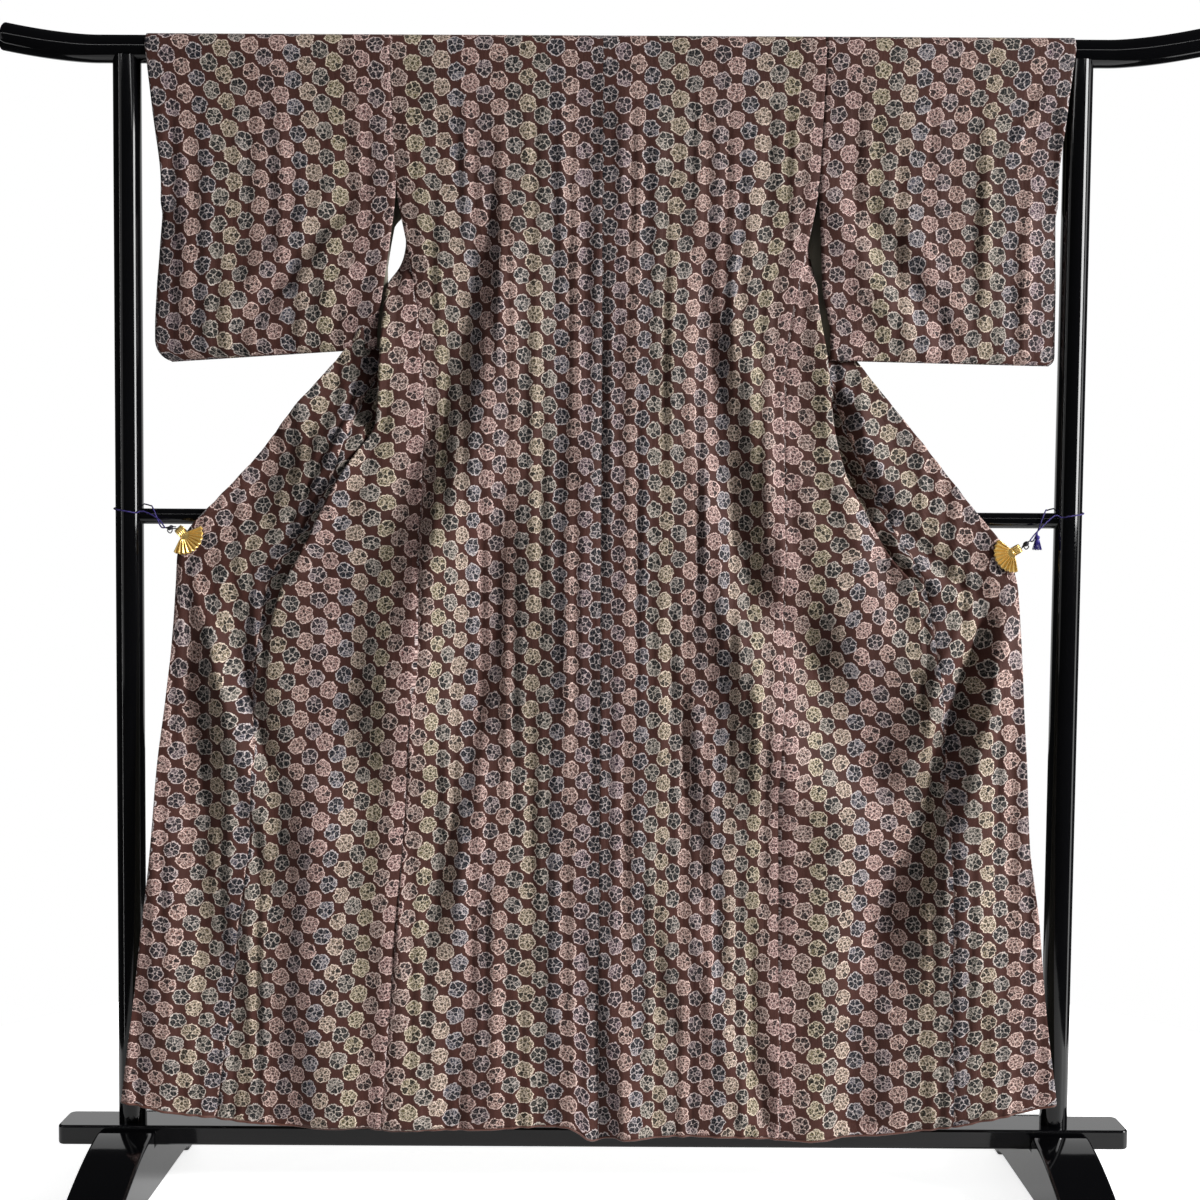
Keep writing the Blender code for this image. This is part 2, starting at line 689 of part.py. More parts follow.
def rounded_path(points, count):
    """A smooth curve through a route's own points."""
    spots = [Vector(p) for p in points]
    ends = [2 * spots[0] - spots[1]] + spots + [2 * spots[-1] - spots[-2]]
    path = []
    total = len(spots) - 1
    for n in range(count + 1):
        at = n / count * total
        i = min(int(at), total - 1)
        t = at - i
        a, b, c, d = ends[i : i + 4]
        path.append(0.5 * (2 * b + (c - a) * t + (2 * a - 5 * b + 4 * c - d) * t**2 + (3 * b - a - 3 * c + d) * t**3))
    return [tuple(p) for p in path]


def cord_route(side):
    """From the clip's head up over the rail, round the post and back to the head."""
    head_x, head_z = CLIP_HEAD[side]
    centre = clip_centre(side)
    ring = POST_RADIUS + CORD_RADIUS + 3 * GAP
    start_x = head_x + 0.0060
    post = side * post_x(side, RAIL_Z)
    points = [
        (side * start_x, centre - 0.003, head_z + 0.001),
        (side * (start_x + 0.012), centre + 0.003, head_z + 0.014),
        (side * (post - 0.024), -0.016, RAIL_Z + 0.006),
    ]
    steps = 9
    for i in range(steps + 1):
        a = math.radians(-128 + 256 * i / steps)
        lift = 0.014 * (i / steps)
        points.append((side * (post + ring * math.cos(a)), ring * math.sin(a), RAIL_Z + 0.004 + lift))
    points += [
        (side * (post - 0.028), 0.004, RAIL_Z + RAIL_RADIUS + CORD_RADIUS + 0.003),
        (side * (post - 0.036), -0.012, RAIL_Z + 0.011),
        (side * (start_x + 0.010), centre + 0.010, head_z + 0.004),
        (side * (start_x + 0.0015), centre + 0.0045, head_z + 0.001),
    ]
    return points


def build_tassel(side, name, look, collection):
    """A small tassel whose stem hangs straight under the cord beside the clip."""
    sides = 12
    rows = []
    for k in range(sides):
        a = 2 * math.pi * k / sides
        rows.append([(r * math.cos(a), r * math.sin(a), z) for r, z in TASSEL])
    mesh = bmesh.new()
    verts = [[mesh.verts.new(p) for p in row] for row in rows]
    for k in range(sides):
        for i in range(len(TASSEL) - 1):
            mesh.faces.new((verts[k][i], verts[(k + 1) % sides][i], verts[(k + 1) % sides][i + 1], verts[k][i + 1]))
    bmesh.ops.remove_doubles(mesh, verts=mesh.verts, dist=0.00001)
    bmesh.ops.dissolve_degenerate(mesh, dist=0.00001, edges=mesh.edges)
    bmesh.ops.recalc_face_normals(mesh, faces=mesh.faces)
    data = bpy.data.meshes.new(name)
    mesh.to_mesh(data)
    mesh.free()
    data.shade_smooth()
    made = add_object(name, data, look, collection)
    before, spot, after = cord_route(side)[:3]
    rise = abs(after[2] - before[2]) / math.dist(before[:2], after[:2])
    drop = (CORD_RADIUS + 2 * GAP) * math.sqrt(1 + rise**2)
    made.location = (spot[0], spot[1], spot[2] - drop)


def main():
    for old in list(bpy.data.objects):
        bpy.data.objects.remove(old, do_unlink=True)
    collection = bpy.data.collections.new("kimono_on_stand")
    cutters = bpy.data.collections.new("cutters")
    for group in (collection, cutters):
        bpy.context.scene.collection.children.link(group)
    crepe = material("crepe", (0.085, 0.045, 0.036), 0.6)
    lacquer = material("lacquer", (0.006, 0.006, 0.007), 0.08, coat=1.0)
    gold = material("gold", (0.72, 0.52, 0.24), 0.25, metallic=1.0)
    cord = material("cord", (0.16, 0.09, 0.24), 0.7)
    build_stand(lacquer, collection, cutters)
    for side, word in ((-1, "left"), (1, "right")):
        build_back(side, "back_" + word, crepe, collection)
        build_front(side, "front_" + word, crepe, collection)
        build_okumi(side, "okumi_" + word, crepe, collection)
        build_sleeve(side, "sleeve_" + word, crepe, collection)
        build_clip(side, "clip_" + word, gold, collection)
        curve_tube("cord_" + word, rounded_path(cord_route(side), 38), CORD_RADIUS, cord, collection, sides=2)
    build_collar("collar", crepe, collection)
    build_tassel(1, "tassel", cord, collection)
    for cutter in cutters.objects:
        cutter.hide_render = True
        cutter.display_type = "WIRE"


main()
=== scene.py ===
import math

import bmesh
import bpy
import numpy as np
from mathutils import Euler, Matrix, Vector


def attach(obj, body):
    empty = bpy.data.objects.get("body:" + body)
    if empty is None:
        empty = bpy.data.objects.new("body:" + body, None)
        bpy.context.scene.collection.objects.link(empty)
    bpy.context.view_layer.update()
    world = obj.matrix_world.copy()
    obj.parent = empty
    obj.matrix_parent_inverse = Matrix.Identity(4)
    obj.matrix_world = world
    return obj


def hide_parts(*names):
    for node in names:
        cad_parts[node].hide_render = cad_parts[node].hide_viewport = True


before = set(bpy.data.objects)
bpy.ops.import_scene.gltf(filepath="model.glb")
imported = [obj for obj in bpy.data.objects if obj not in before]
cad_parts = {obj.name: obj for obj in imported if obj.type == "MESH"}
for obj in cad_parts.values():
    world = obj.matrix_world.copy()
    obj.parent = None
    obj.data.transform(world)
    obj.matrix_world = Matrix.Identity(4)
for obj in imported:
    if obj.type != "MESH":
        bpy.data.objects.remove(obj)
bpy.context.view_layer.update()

SIDES = ((-1, "left"), (1, "right"))

# Sizes that the solids have too, in metres
GAP = 0.0003
ROD_HALF, ROD_RADIUS, ROD_Z = 0.8365, 0.019, 1.622
ROD_STRAIGHT, ROD_LIFT = 0.705, 0.017
POST_X, STAND_LEAN, POST_RADIUS = 0.664, 0.0065, 0.0195
RAIL_Z, RAIL_RADIUS = 0.973, 0.011
BEAM_HALF, BEAM_DEPTH, BEAM_HEIGHT, BEAM_TOP = 0.764, 0.066, 0.028, 0.106
FOOT_LENGTH, FOOT_WIDTH, FOOT_SHOULDER, FOOT_END_TOP = 0.42, 0.080, 0.099, 0.058
FOOT_PAD, FOOT_RELIEF = 0.045, 0.010
FRONT_WIDTH, NECK_HALF, COLLAR_WIDTH = 0.237, 0.082, 0.057
ARMHOLE_Z = 1.437
SIDE_SEAM_Z, CUFF_Z, OKUMI_TOP_Z, CLIP_Z = 1.292, 1.412, 1.342, 0.942
HEM_Z, HEM_BLEND_Z = 0.110, 0.36
PLEAT_RADIUS = 0.004
SHOULDER_ANGLE = math.radians(40)
CENTRE_BULGE, COLLAR_STEP, COLLAR_LOOSE = 0.005, 0.004, 0.004
LAST_PLEAT_LENGTH, OKUMI_SEAM_GAP, FOLD_FADE = 0.006, 0.0005, 0.16
CLIP_HEAD = {-1: (0.6035, 0.955), 1: (0.5945, 0.943)}
CORD_RADIUS = 0.0010

# Thickness of the shells that are drawn over the solids' 2 mm walls
SHELL = 0.0016
COLLAR_SHELL = 0.0026

OUTLINE_COLUMNS = ("z", "side", "pleat", "okumi", "edge")
OUTLINE = {
    -1: (
        (1.622, 0.294, 0.294, 0.082, 0.082),
        (1.530, 0.291, 0.291, 0.118, 0.118),
        (1.437, 0.287, 0.287, 0.164, 0.164),
        (1.342, 0.270, 0.287, 0.241, 0.247),
        (1.292, 0.261, 0.301, 0.270, 0.289),
        (1.194, 0.252, 0.309, 0.309, 0.368),
        (1.110, 0.248, 0.314, 0.349, 0.440),
        (1.040, 0.249, 0.354, 0.369, 0.499),
        (0.998, 0.249, 0.380, 0.391, 0.537),
        (0.942, 0.251, 0.408, 0.426, 0.585),
        (0.914, 0.251, 0.422, 0.448, 0.594),
        (0.871, 0.252, 0.446, 0.468, 0.597),
        (0.801, 0.255, 0.462, 0.478, 0.600),
        (0.716, 0.261, 0.465, 0.486, 0.608),
        (0.631, 0.267, 0.465, 0.486, 0.620),
        (0.520, 0.274, 0.465, 0.492, 0.631),
        (0.374, 0.284, 0.465, 0.510, 0.651),
        (0.229, 0.296, 0.465, 0.527, 0.668),
        (0.110, 0.305, 0.465, 0.541, 0.682),
    ),
    1: (
        (1.622, 0.308, 0.308, 0.090, 0.090),
        (1.530, 0.305, 0.305, 0.132, 0.132),
        (1.437, 0.301, 0.301, 0.181, 0.181),
        (1.342, 0.284, 0.301, 0.241, 0.247),
        (1.292, 0.273, 0.301, 0.269, 0.287),
        (1.194, 0.257, 0.315, 0.312, 0.358),
        (1.110, 0.254, 0.324, 0.342, 0.425),
        (1.040, 0.255, 0.340, 0.371, 0.481),
        (0.998, 0.255, 0.361, 0.392, 0.514),
        (0.942, 0.256, 0.392, 0.418, 0.560),
        (0.914, 0.256, 0.410, 0.438, 0.576),
        (0.871, 0.255, 0.443, 0.458, 0.586),
        (0.801, 0.256, 0.451, 0.468, 0.589),
        (0.716, 0.256, 0.455, 0.479, 0.593),
        (0.631, 0.255, 0.455, 0.489, 0.599),
        (0.520, 0.255, 0.455, 0.492, 0.607),
        (0.374, 0.255, 0.455, 0.496, 0.628),
        (0.229, 0.256, 0.455, 0.500, 0.642),
        (0.110, 0.256, 0.455, 0.502, 0.656),
    ),
}
TURN_COLUMNS = ("z", "start", "middle", "turned_back")
TURNS = (
    (1.622, 180, 180, 0.005),
    (1.530, 180, 180, 0.022),
    (1.437, 180, 180, 0.045),
    (1.342, 50, 180, 0.085),
    (1.292, 0, 180, 0.085),
    (0.914, 0, 180, 0.085),
    (0.871, 0, 115, 0.085),
    (0.801, 0, 40, 0.085),
    (0.716, 0, 0, 0.085),
)
DEPTH_COLUMNS = ("z", "near", "far")
DEPTH = (
    (1.622, -0.0206, 0.0206),
    (1.530, -0.0198, 0.0150),
    (1.437, -0.0195, 0.0080),
    (1.342, -0.0220, -0.0140),
    (1.292, -0.0240, -0.0240),
    (1.194, -0.0300, -0.0300),
    (1.110, -0.0360, -0.0360),
    (0.998, -0.0420, -0.0420),
    (0.801, -0.0450, -0.0450),
    (0.520, -0.0470, -0.0470),
    (0.110, -0.0520, -0.0520),
)
COLLAR_COLUMNS = ("x", "slant")
COLLAR_SLANT = ((0.000, 0), (0.055, 14), (0.082, 36), (0.118, 55), (0.200, 50), (0.600, 50))
HEM_COLUMNS = ("x", "z")
HEM = (
    (-0.690, 0.149),
    (-0.646, 0.142),
    (-0.580, 0.130),
    (-0.416, 0.114),
    (-0.251, 0.109),
    (-0.045, 0.117),
    (-0.004, 0.096),
    (0.012, 0.100),
    (0.146, 0.103),
    (0.287, 0.097),
    (0.353, 0.101),
    (0.494, 0.117),
    (0.577, 0.135),
    (0.670, 0.154),
)
SLEEVE_COLUMNS = ("z", "inner", "outer", "near_in", "far_in", "near_out", "far_out")
SLEEVES = {
    -1: (
        (1.622, 0.2943, 0.634, -0.0206, 0.0206, -0.0206, 0.0206),
        (1.530, 0.2913, 0.624, -0.0198, 0.0150, -0.0195, 0.0195),
        (1.437, 0.2873, 0.614, -0.0195, 0.0080, -0.0175, 0.0170),
        (1.342, 0.2970, 0.620, -0.0215, -0.0060, -0.0130, 0.0090),
        (1.292, 0.3045, 0.624, -0.0235, -0.0110, -0.0110, 0.0050),
        (1.230, 0.3125, 0.627, -0.0260, -0.0185, -0.0080, 0.0010),
        (1.180, 0.3135, 0.627, -0.0260, -0.0200, -0.0070, -0.0010),
    ),
    1: (
        (1.622, 0.3083, 0.654, -0.0206, 0.0206, -0.0206, 0.0206),
        (1.530, 0.3053, 0.643, -0.0198, 0.0150, -0.0195, 0.0195),
        (1.437, 0.3013, 0.634, -0.0195, 0.0080, -0.0175, 0.0170),
        (1.342, 0.3050, 0.635, -0.0215, -0.0060, -0.0130, 0.0090),
        (1.292, 0.3070, 0.636, -0.0235, -0.0110, -0.0110, 0.0050),
        (1.230, 0.3180, 0.636, -0.0260, -0.0185, -0.0080, 0.0010),
        (1.180, 0.3190, 0.636, -0.0260, -0.0200, -0.0070, -0.0010),
    ),
}
# How far a sleeve's rear layer runs in behind the body at the open underarm
LAP_COLUMNS = ("z", "lap")
LAPS = {
    -1: (
        (1.200, 0.000),
        (1.250, 0.007),
        (1.300, 0.004),
        (1.325, 0.000),
        (1.378, 0.001),
        (1.398, 0.012),
        (1.430, 0.010),
        (1.460, 0.000),
    ),
    1: (
        (1.200, 0.000),
        (1.240, 0.016),
        (1.280, 0.018),
        (1.385, 0.015),
        (1.425, 0.011),
        (1.460, 0.000),
    ),
}
SLEEVE_BOTTOM = {-1: (1.207, 1.190), 1: (1.194, 1.190)}
SLEEVE_CORNER = {-1: 0.030, 1: 0.012}

# Large drape folds, shared with the solids: + goes in, - stands out
FOLD_COLUMNS = ("side", "x_top", "z_top", "x_bottom", "z_bottom", "width", "depth")
FOLDS = (
    (-1, 0.575, 0.900, 0.545, 0.560, 0.016, 0.016),
    (-1, 0.560, 0.890, 0.480, 0.560, 0.018, -0.014),
    (-1, 0.530, 0.880, 0.420, 0.420, 0.022, 0.009),
    (-1, 0.460, 0.860, 0.400, 0.250, 0.028, -0.008),
    (-1, 0.340, 1.060, 0.330, 0.300, 0.026, 0.007),
    (-1, 0.300, 0.900, 0.290, 0.150, 0.024, -0.007),
    (-1, 0.215, 0.900, 0.225, 0.140, 0.024, 0.009),
    (-1, 0.160, 1.250, 0.150, 0.200, 0.028, -0.006),
    (-1, 0.090, 1.150, 0.085, 0.160, 0.026, 0.008),
    (-1, 0.030, 1.300, 0.035, 0.140, 0.022, -0.007),
    (-1, 0.590, 0.560, 0.610, 0.130, 0.030, -0.006),
    (1, 0.560, 0.880, 0.450, 0.480, 0.018, 0.018),
    (1, 0.575, 0.900, 0.520, 0.600, 0.016, -0.012),
    (1, 0.500, 0.900, 0.440, 0.600, 0.018, -0.010),
    (1, 0.420, 0.860, 0.370, 0.260, 0.028, 0.008),
    (1, 0.330, 1.000, 0.320, 0.200, 0.026, -0.008),
    (1, 0.235, 0.900, 0.240, 0.150, 0.022, 0.010),
    (1, 0.185, 1.080, 0.215, 0.500, 0.024, -0.009),
    (1, 0.130, 1.200, 0.120, 0.160, 0.026, 0.008),
    (1, 0.060, 1.300, 0.060, 0.140, 0.026, -0.007),
    (1, 0.570, 0.520, 0.590, 0.130, 0.030, -0.006),
)

# Folds drawn in the shells only, by their true places across the kimono: three points down each fold's line,
# half widths at its top and bottom, steepness across the line (+ faces left, - faces right), and 1 where only
# the layer behind a pleat takes it
CREASE_COLUMNS = ("x_1", "z_1", "x_2", "z_2", "x_3", "z_3", "wide_1", "wide_3", "steep", "behind")
CREASES = (
    (-0.130, 1.480, -0.192, 1.140, -0.290, 0.840, 0.020, 0.064, 0.70, 0),
    (-0.232, 1.110, -0.264, 1.010, -0.310, 0.860, 0.012, 0.020, 0.50, 0),
    (-0.165, 1.050, -0.205, 0.860, -0.228, 0.580, 0.044, 0.084, -0.82, 0),
    (-0.138, 0.850, -0.185, 0.580, -0.242, 0.310, 0.016, 0.024, 0.48, 0),
    (-0.155, 0.540, -0.196, 0.350, -0.230, 0.110, 0.026, 0.034, -0.32, 0),
    (-0.325, 1.340, -0.392, 1.110, -0.490, 0.940, 0.040, 0.062, 0.62, 0),
    (-0.330, 1.260, -0.348, 1.180, -0.400, 1.060, 0.026, 0.032, 0.95, 0),
    (-0.312, 1.215, -0.372, 1.075, -0.455, 0.915, 0.006, 0.007, 2.00, 0),
    (-0.298, 1.160, -0.366, 0.990, -0.432, 0.850, 0.015, 0.022, -1.05, 0),
    (-0.314, 1.300, -0.346, 1.190, -0.410, 1.060, 0.052, 0.060, -1.30, 1),
    (-0.425, 0.970, -0.480, 0.918, -0.535, 0.885, 0.016, 0.022, -0.40, 0),
    (-0.582, 0.925, -0.562, 0.700, -0.500, 0.200, 0.016, 0.060, 0.46, 0),
    (-0.574, 0.925, -0.520, 0.750, -0.435, 0.530, 0.011, 0.019, -0.48, 0),
    (-0.500, 0.900, -0.488, 0.800, -0.470, 0.690, 0.018, 0.020, 0.46, 0),
    (-0.495, 0.590, -0.465, 0.480, -0.410, 0.350, 0.018, 0.022, 0.34, 0),
    (-0.372, 0.920, -0.350, 0.830, -0.325, 0.740, 0.024, 0.024, 0.30, 0),
    (-0.330, 0.740, -0.345, 0.600, -0.352, 0.470, 0.036, 0.040, -0.24, 0),
    (0.150, 1.330, 0.208, 1.030, 0.258, 0.760, 0.022, 0.052, 0.64, 0),
    (0.138, 1.130, 0.184, 0.890, 0.245, 0.640, 0.022, 0.030, -0.55, 0),
    (0.248, 1.120, 0.288, 0.930, 0.370, 0.680, 0.020, 0.032, 0.46, 0),
    (0.240, 0.880, 0.276, 0.720, 0.330, 0.530, 0.044, 0.084, -0.82, 0),
    (0.395, 0.985, 0.460, 0.905, 0.525, 0.845, 0.020, 0.028, -0.60, 0),
    (0.310, 1.350, 0.314, 1.200, 0.330, 1.040, 0.014, 0.016, -0.55, 0),
    (0.332, 1.170, 0.354, 1.080, 0.398, 0.970, 0.022, 0.032, 1.10, 1),
    (0.324, 1.080, 0.372, 0.940, 0.425, 0.760, 0.019, 0.025, -0.95, 0),
    (0.542, 0.890, 0.480, 0.790, 0.438, 0.680, 0.009, 0.020, 0.60, 0),
    (0.553, 0.890, 0.506, 0.760, 0.425, 0.570, 0.009, 0.019, -0.55, 0),
    (0.572, 0.920, 0.512, 0.690, 0.424, 0.280, 0.012, 0.078, 0.70, 0),
    (0.445, 0.480, 0.405, 0.330, 0.395, 0.120, 0.026, 0.036, 0.36, 0),
    (0.565, 0.660, 0.560, 0.430, 0.582, 0.100, 0.030, 0.036, -0.30, 0),
    (0.100, 0.810, 0.136, 0.610, 0.170, 0.410, 0.016, 0.022, 0.50, 0),
    (0.130, 0.480, 0.170, 0.310, 0.228, 0.130, 0.018, 0.022, -0.45, 0),
    (0.196, 0.520, 0.224, 0.310, 0.242, 0.130, 0.018, 0.018, 0.45, 0),
    (0.068, 0.500, 0.094, 0.340, 0.132, 0.190, 0.018, 0.020, 0.38, 0),
    (-0.010, 0.420, 0.006, 0.240, 0.032, 0.080, 0.017, 0.022, 0.60, 0),
    (0.028, 0.500, 0.044, 0.300, 0.072, 0.100, 0.026, 0.028, -0.32, 0),
    (-0.450, 0.640, -0.430, 0.380, -0.430, 0.110, 0.100, 0.120, 0.24, 0),
    (0.470, 0.560, 0.455, 0.350, 0.450, 0.120, 0.070, 0.090, 0.20, 0),
    (-0.075, 1.430, -0.078, 1.200, -0.085, 0.950, 0.018, 0.022, -0.25, 0),
    (0.004, 1.640, 0.004, 1.350, 0.006, 1.020, 0.040, 0.034, 0.24, 0),
    (0.112, 1.400, 0.126, 1.250, 0.120, 1.080, 0.022, 0.022, -0.30, 0),
)
SLEEVE_CREASES = (
    (-0.340, 1.450, -0.440, 1.335, -0.545, 1.210, 0.020, 0.034, -0.40, 0),
    (-0.315, 1.440, -0.400, 1.340, -0.490, 1.225, 0.018, 0.028, 0.42, 0),
    (-0.315, 1.350, -0.365, 1.275, -0.430, 1.195, 0.018, 0.028, -0.34, 0),
    (-0.600, 1.560, -0.592, 1.380, -0.600, 1.200, 0.014, 0.018, 0.20, 0),
    (0.318, 1.460, 0.385, 1.325, 0.470, 1.195, 0.026, 0.040, -0.34, 0),
    (0.375, 1.440, 0.440, 1.320, 0.515, 1.195, 0.022, 0.030, 0.24, 0),
    (0.630, 1.600, 0.585, 1.530, 0.530, 1.440, 0.012, 0.016, 0.30, 0),
    (0.530, 1.450, 0.528, 1.330, 0.530, 1.200, 0.010, 0.012, 0.25, 0),
    (0.580, 1.400, 0.578, 1.300, 0.582, 1.200, 0.010, 0.012, 0.28, 0),
    (0.548, 1.520, 0.550, 1.370, 0.554, 1.200, 0.010, 0.012, -0.25, 0),
    (0.606, 1.500, 0.603, 1.350, 0.610, 1.200, 0.010, 0.012, -0.28, 0),
)

# Shares of a crease over which it deepens at its top and dies out at its end, unless it runs into the hem
CREASE_IN, CREASE_OUT, NEAR_HEM = 0.25, 0.3, 0.04

# Slack places where the cloth dips along a short level line: place, half width, half height and depth
DENT_COLUMNS = ("x", "z", "wide", "high", "depth")
DENTS = (
    (-0.265, 0.598, 0.060, 0.012, 0.004),
    (-0.325, 0.352, 0.045, 0.014, 0.004),
    (0.130, 0.235, 0.030, 0.020, 0.003),
)

# Slow waves of the hung silk: waves across and down per metre, start of the wave, and height
WAVE_COLUMNS = ("across", "down", "start", "height")
WAVES = (
    (9.0, 0.7, 0.3, 0.0011),
    (15.0, -1.1, 1.9, 0.0008),
    (23.0, 1.6, 4.1, 0.0006),
    (37.0, -1.1, 2.7, 0.00115),
    (46.0, 0.9, 0.8, 0.00085),
    (59.0, -0.6, 5.0, 0.00050),
    (5.0, 3.7, 5.2, 0.0008),
)

# How far below the rod's middle the waves begin, and the way over which they grow
WAVE_START, WAVE_EASE = 0.03, 0.12

# Repeat of the pattern: step across, drop from column to column, repeat down a column, size of a roundel
STEP_ACROSS = 0.0193
STEP_DOWN = 0.0160
REPEAT_DOWN = 0.0366
ROUNDEL = 0.0124

# Colour of the roundels in each column of the bolt, in 8-bit sRGB, with the share of petals that are dark
HUE_COLUMNS = ("red", "green", "blue", "dark")
HUES = (
    (84, 82, 118, 0.85),
    (150, 104, 136, 0.60),
    (216, 150, 134, 0.15),
    (84, 94, 134, 0.75),
    (128, 130, 110, 0.50),
    (200, 174, 118, 0.20),
    (96, 102, 98, 0.65),
    (212, 142, 124, 0.12),
    (134, 98, 122, 0.60),
    (222, 150, 140, 0.12),
    (108, 118, 150, 0.55),
    (222, 186, 150, 0.12),
    (122, 122, 106, 0.50),
    (192, 174, 102, 0.20),
    (166, 106, 88, 0.35),
    (210, 132, 128, 0.15),
    (132, 90, 114, 0.55),
    (200, 128, 126, 0.25),
    (84, 84, 126, 0.70),
    (176, 138, 108, 0.35),
)


def table_line(rows, columns, wanted, straight=False):
    """A function through one column of a table by its first, smooth with no overshoot unless straight."""
    spots = sorted((row[0], row[columns.index(wanted)]) for row in rows)
    xs = np.array([spot[0] for spot in spots], float)
    ys = np.array([spot[1] for spot in spots], float)
    if straight:
        return lambda at: np.interp(at, xs, ys)
    steps = np.diff(xs)
    slopes = np.diff(ys) / steps
    tangents = np.zeros(len(xs))
    same = slopes[:-1] * slopes[1:] > 0
    both = slopes[:-1] + slopes[1:]
    tangents[1:-1][same] = 2 * (slopes[:-1] * slopes[1:])[same] / both[same]
    tangents[0], tangents[-1] = slopes[0], slopes[-1]

    def value(at):
        at = np.clip(at, xs[0], xs[-1])
        i = np.clip(np.searchsorted(xs, at) - 1, 0, len(steps) - 1)
        t = (at - xs[i]) / steps[i]
        h = steps[i]
        a = (1 + 2 * t) * (1 - t) ** 2 * ys[i] + t * (1 - t) ** 2 * h * tangents[i]
        return a + t * t * (3 - 2 * t) * ys[i + 1] + t * t * (t - 1) * h * tangents[i + 1]

    return value


OUTLINES = {(s, c): table_line(OUTLINE[s], OUTLINE_COLUMNS, c) for s in (-1, 1) for c in OUTLINE_COLUMNS[1:]}
TURN = {c: table_line(TURNS, TURN_COLUMNS, c, straight=True) for c in TURN_COLUMNS[1:]}
DEPTHS = {c: table_line(DEPTH, DEPTH_COLUMNS, c) for c in DEPTH_COLUMNS[1:]}
SLEEVE = {(s, c): table_line(SLEEVES[s], SLEEVE_COLUMNS, c) for s in (-1, 1) for c in SLEEVE_COLUMNS[1:]}
LAP = {s: table_line(LAPS[s], LAP_COLUMNS, "lap") for s in (-1, 1)}
SLANT = table_line(COLLAR_SLANT, COLLAR_COLUMNS, "slant")
HEM_LINE = table_line(HEM, HEM_COLUMNS, "z")


def outline(side, z, column):
    return OUTLINES[side, column](z)


def smooth(t):
    t = np.clip(t, 0.0, 1.0)
    return t * t * (3 - 2 * t)


def hem_height(side, x, z):
    share = np.clip((HEM_BLEND_Z - z) / (HEM_BLEND_Z - HEM_Z), 0.0, 1.0)
    return z + share * (HEM_LINE(side * x) - HEM_Z)


def drape(side, x, z):
    """How far the large folds move the cloth in depth."""
    total = np.zeros(np.shape(x))
    for row in FOLDS:
        fold = dict(zip(FOLD_COLUMNS, row))
        if fold["side"] != side:
            continue
        along = (fold["z_top"] - z) / (fold["z_top"] - fold["z_bottom"])
        middle = fold["x_top"] + (fold["x_bottom"] - fold["x_top"]) * along
        fade = smooth((fold["z_top"] - z) / FOLD_FADE)
        if fold["z_bottom"] > HEM_BLEND_Z:
            fade = fade * smooth((z - fold["z_bottom"] + FOLD_FADE / 2) / FOLD_FADE)
        total = total + fold["depth"] * fade * np.exp(-(((x - middle) / fold["width"]) ** 2))
    return total


def creases(x, z, rows, behind=1.0):
    """How far the shells' own folds move the cloth in depth at its true place across the kimono."""
    total = np.zeros(np.shape(x))
    for row in rows:
        fold = dict(zip(CREASE_COLUMNS, row))
        along = (fold["z_1"] - z) / (fold["z_1"] - fold["z_3"])
        if along <= 0 or along >= 1:
            continue
        bend = (fold["z_1"] - fold["z_2"]) / (fold["z_1"] - fold["z_3"])
        straight = fold["x_1"] + (fold["x_3"] - fold["x_1"]) * along
        bow = fold["x_2"] - fold["x_1"] - (fold["x_3"] - fold["x_1"]) * bend
        middle = straight + bow * along * (1 - along) / (bend * (1 - bend))
        wide = fold["wide_1"] + (fold["wide_3"] - fold["wide_1"]) * along
        fade = smooth(along / CREASE_IN)
        if fold["z_3"] >= HEM_Z + NEAR_HEM:
            fade = fade * smooth((1 - along) / CREASE_OUT)
        share = behind if fold["behind"] else 1.0
        away = x - middle
        total = total - fold["steep"] * fade * share * away * np.exp(-((away / wide) ** 2))
    if rows is CREASES:
        for row in DENTS:
            dent = dict(zip(DENT_COLUMNS, row))
            near = ((x - dent["x"]) / dent["wide"]) ** 2 + ((z - dent["z"]) / dent["high"]) ** 2
            total = total + dent["depth"] * np.exp(-near)
    return total


def waves(x, z):
    """Slow waves at a place, by its true position across the whole kimono."""
    total = np.zeros(np.shape(x))
    for row in WAVES:
        wave = dict(zip(WAVE_COLUMNS, row))
        turn = 2 * math.pi * (wave["across"] * x + wave["down"] * z) + wave["start"]
        total = total + wave["height"] * np.sin(turn)
    return total * smooth((ROD_Z - WAVE_START - z) / WAVE_EASE)


def srgb(red, green, blue):
    """Linear colour from 8-bit sRGB."""
    parts = [c / 255 for c in (red, green, blue)]
    return tuple(((c + 0.055) / 1.055) ** 2.4 if c > 0.04045 else c / 12.92 for c in parts)


# Camera: the photograph's view, level with the middle of the kimono and 2.4 m in front of the stand
CAMERA_DISTANCE = 2.4
CAMERA_HEIGHT = 0.905
CAMERA_PITCH = math.radians(3.15)
CAMERA_ROLL = math.radians(0.3)
CAMERA_LENS = 50.7
CAMERA_SHIFT = 0.0496


def make_camera():
    data = bpy.data.cameras.new("camera")
    data.sensor_width = 36
    data.lens = CAMERA_LENS
    data.shift_y = CAMERA_SHIFT
    made = link("camera", data)
    turn = Euler((math.pi / 2 - CAMERA_PITCH, 0, 0)).to_matrix() @ Matrix.Rotation(CAMERA_ROLL, 3, "Z")
    made.matrix_world = Matrix.Translation((0, -CAMERA_DISTANCE, CAMERA_HEIGHT)) @ turn.to_4x4()
    bpy.context.scene.camera = made


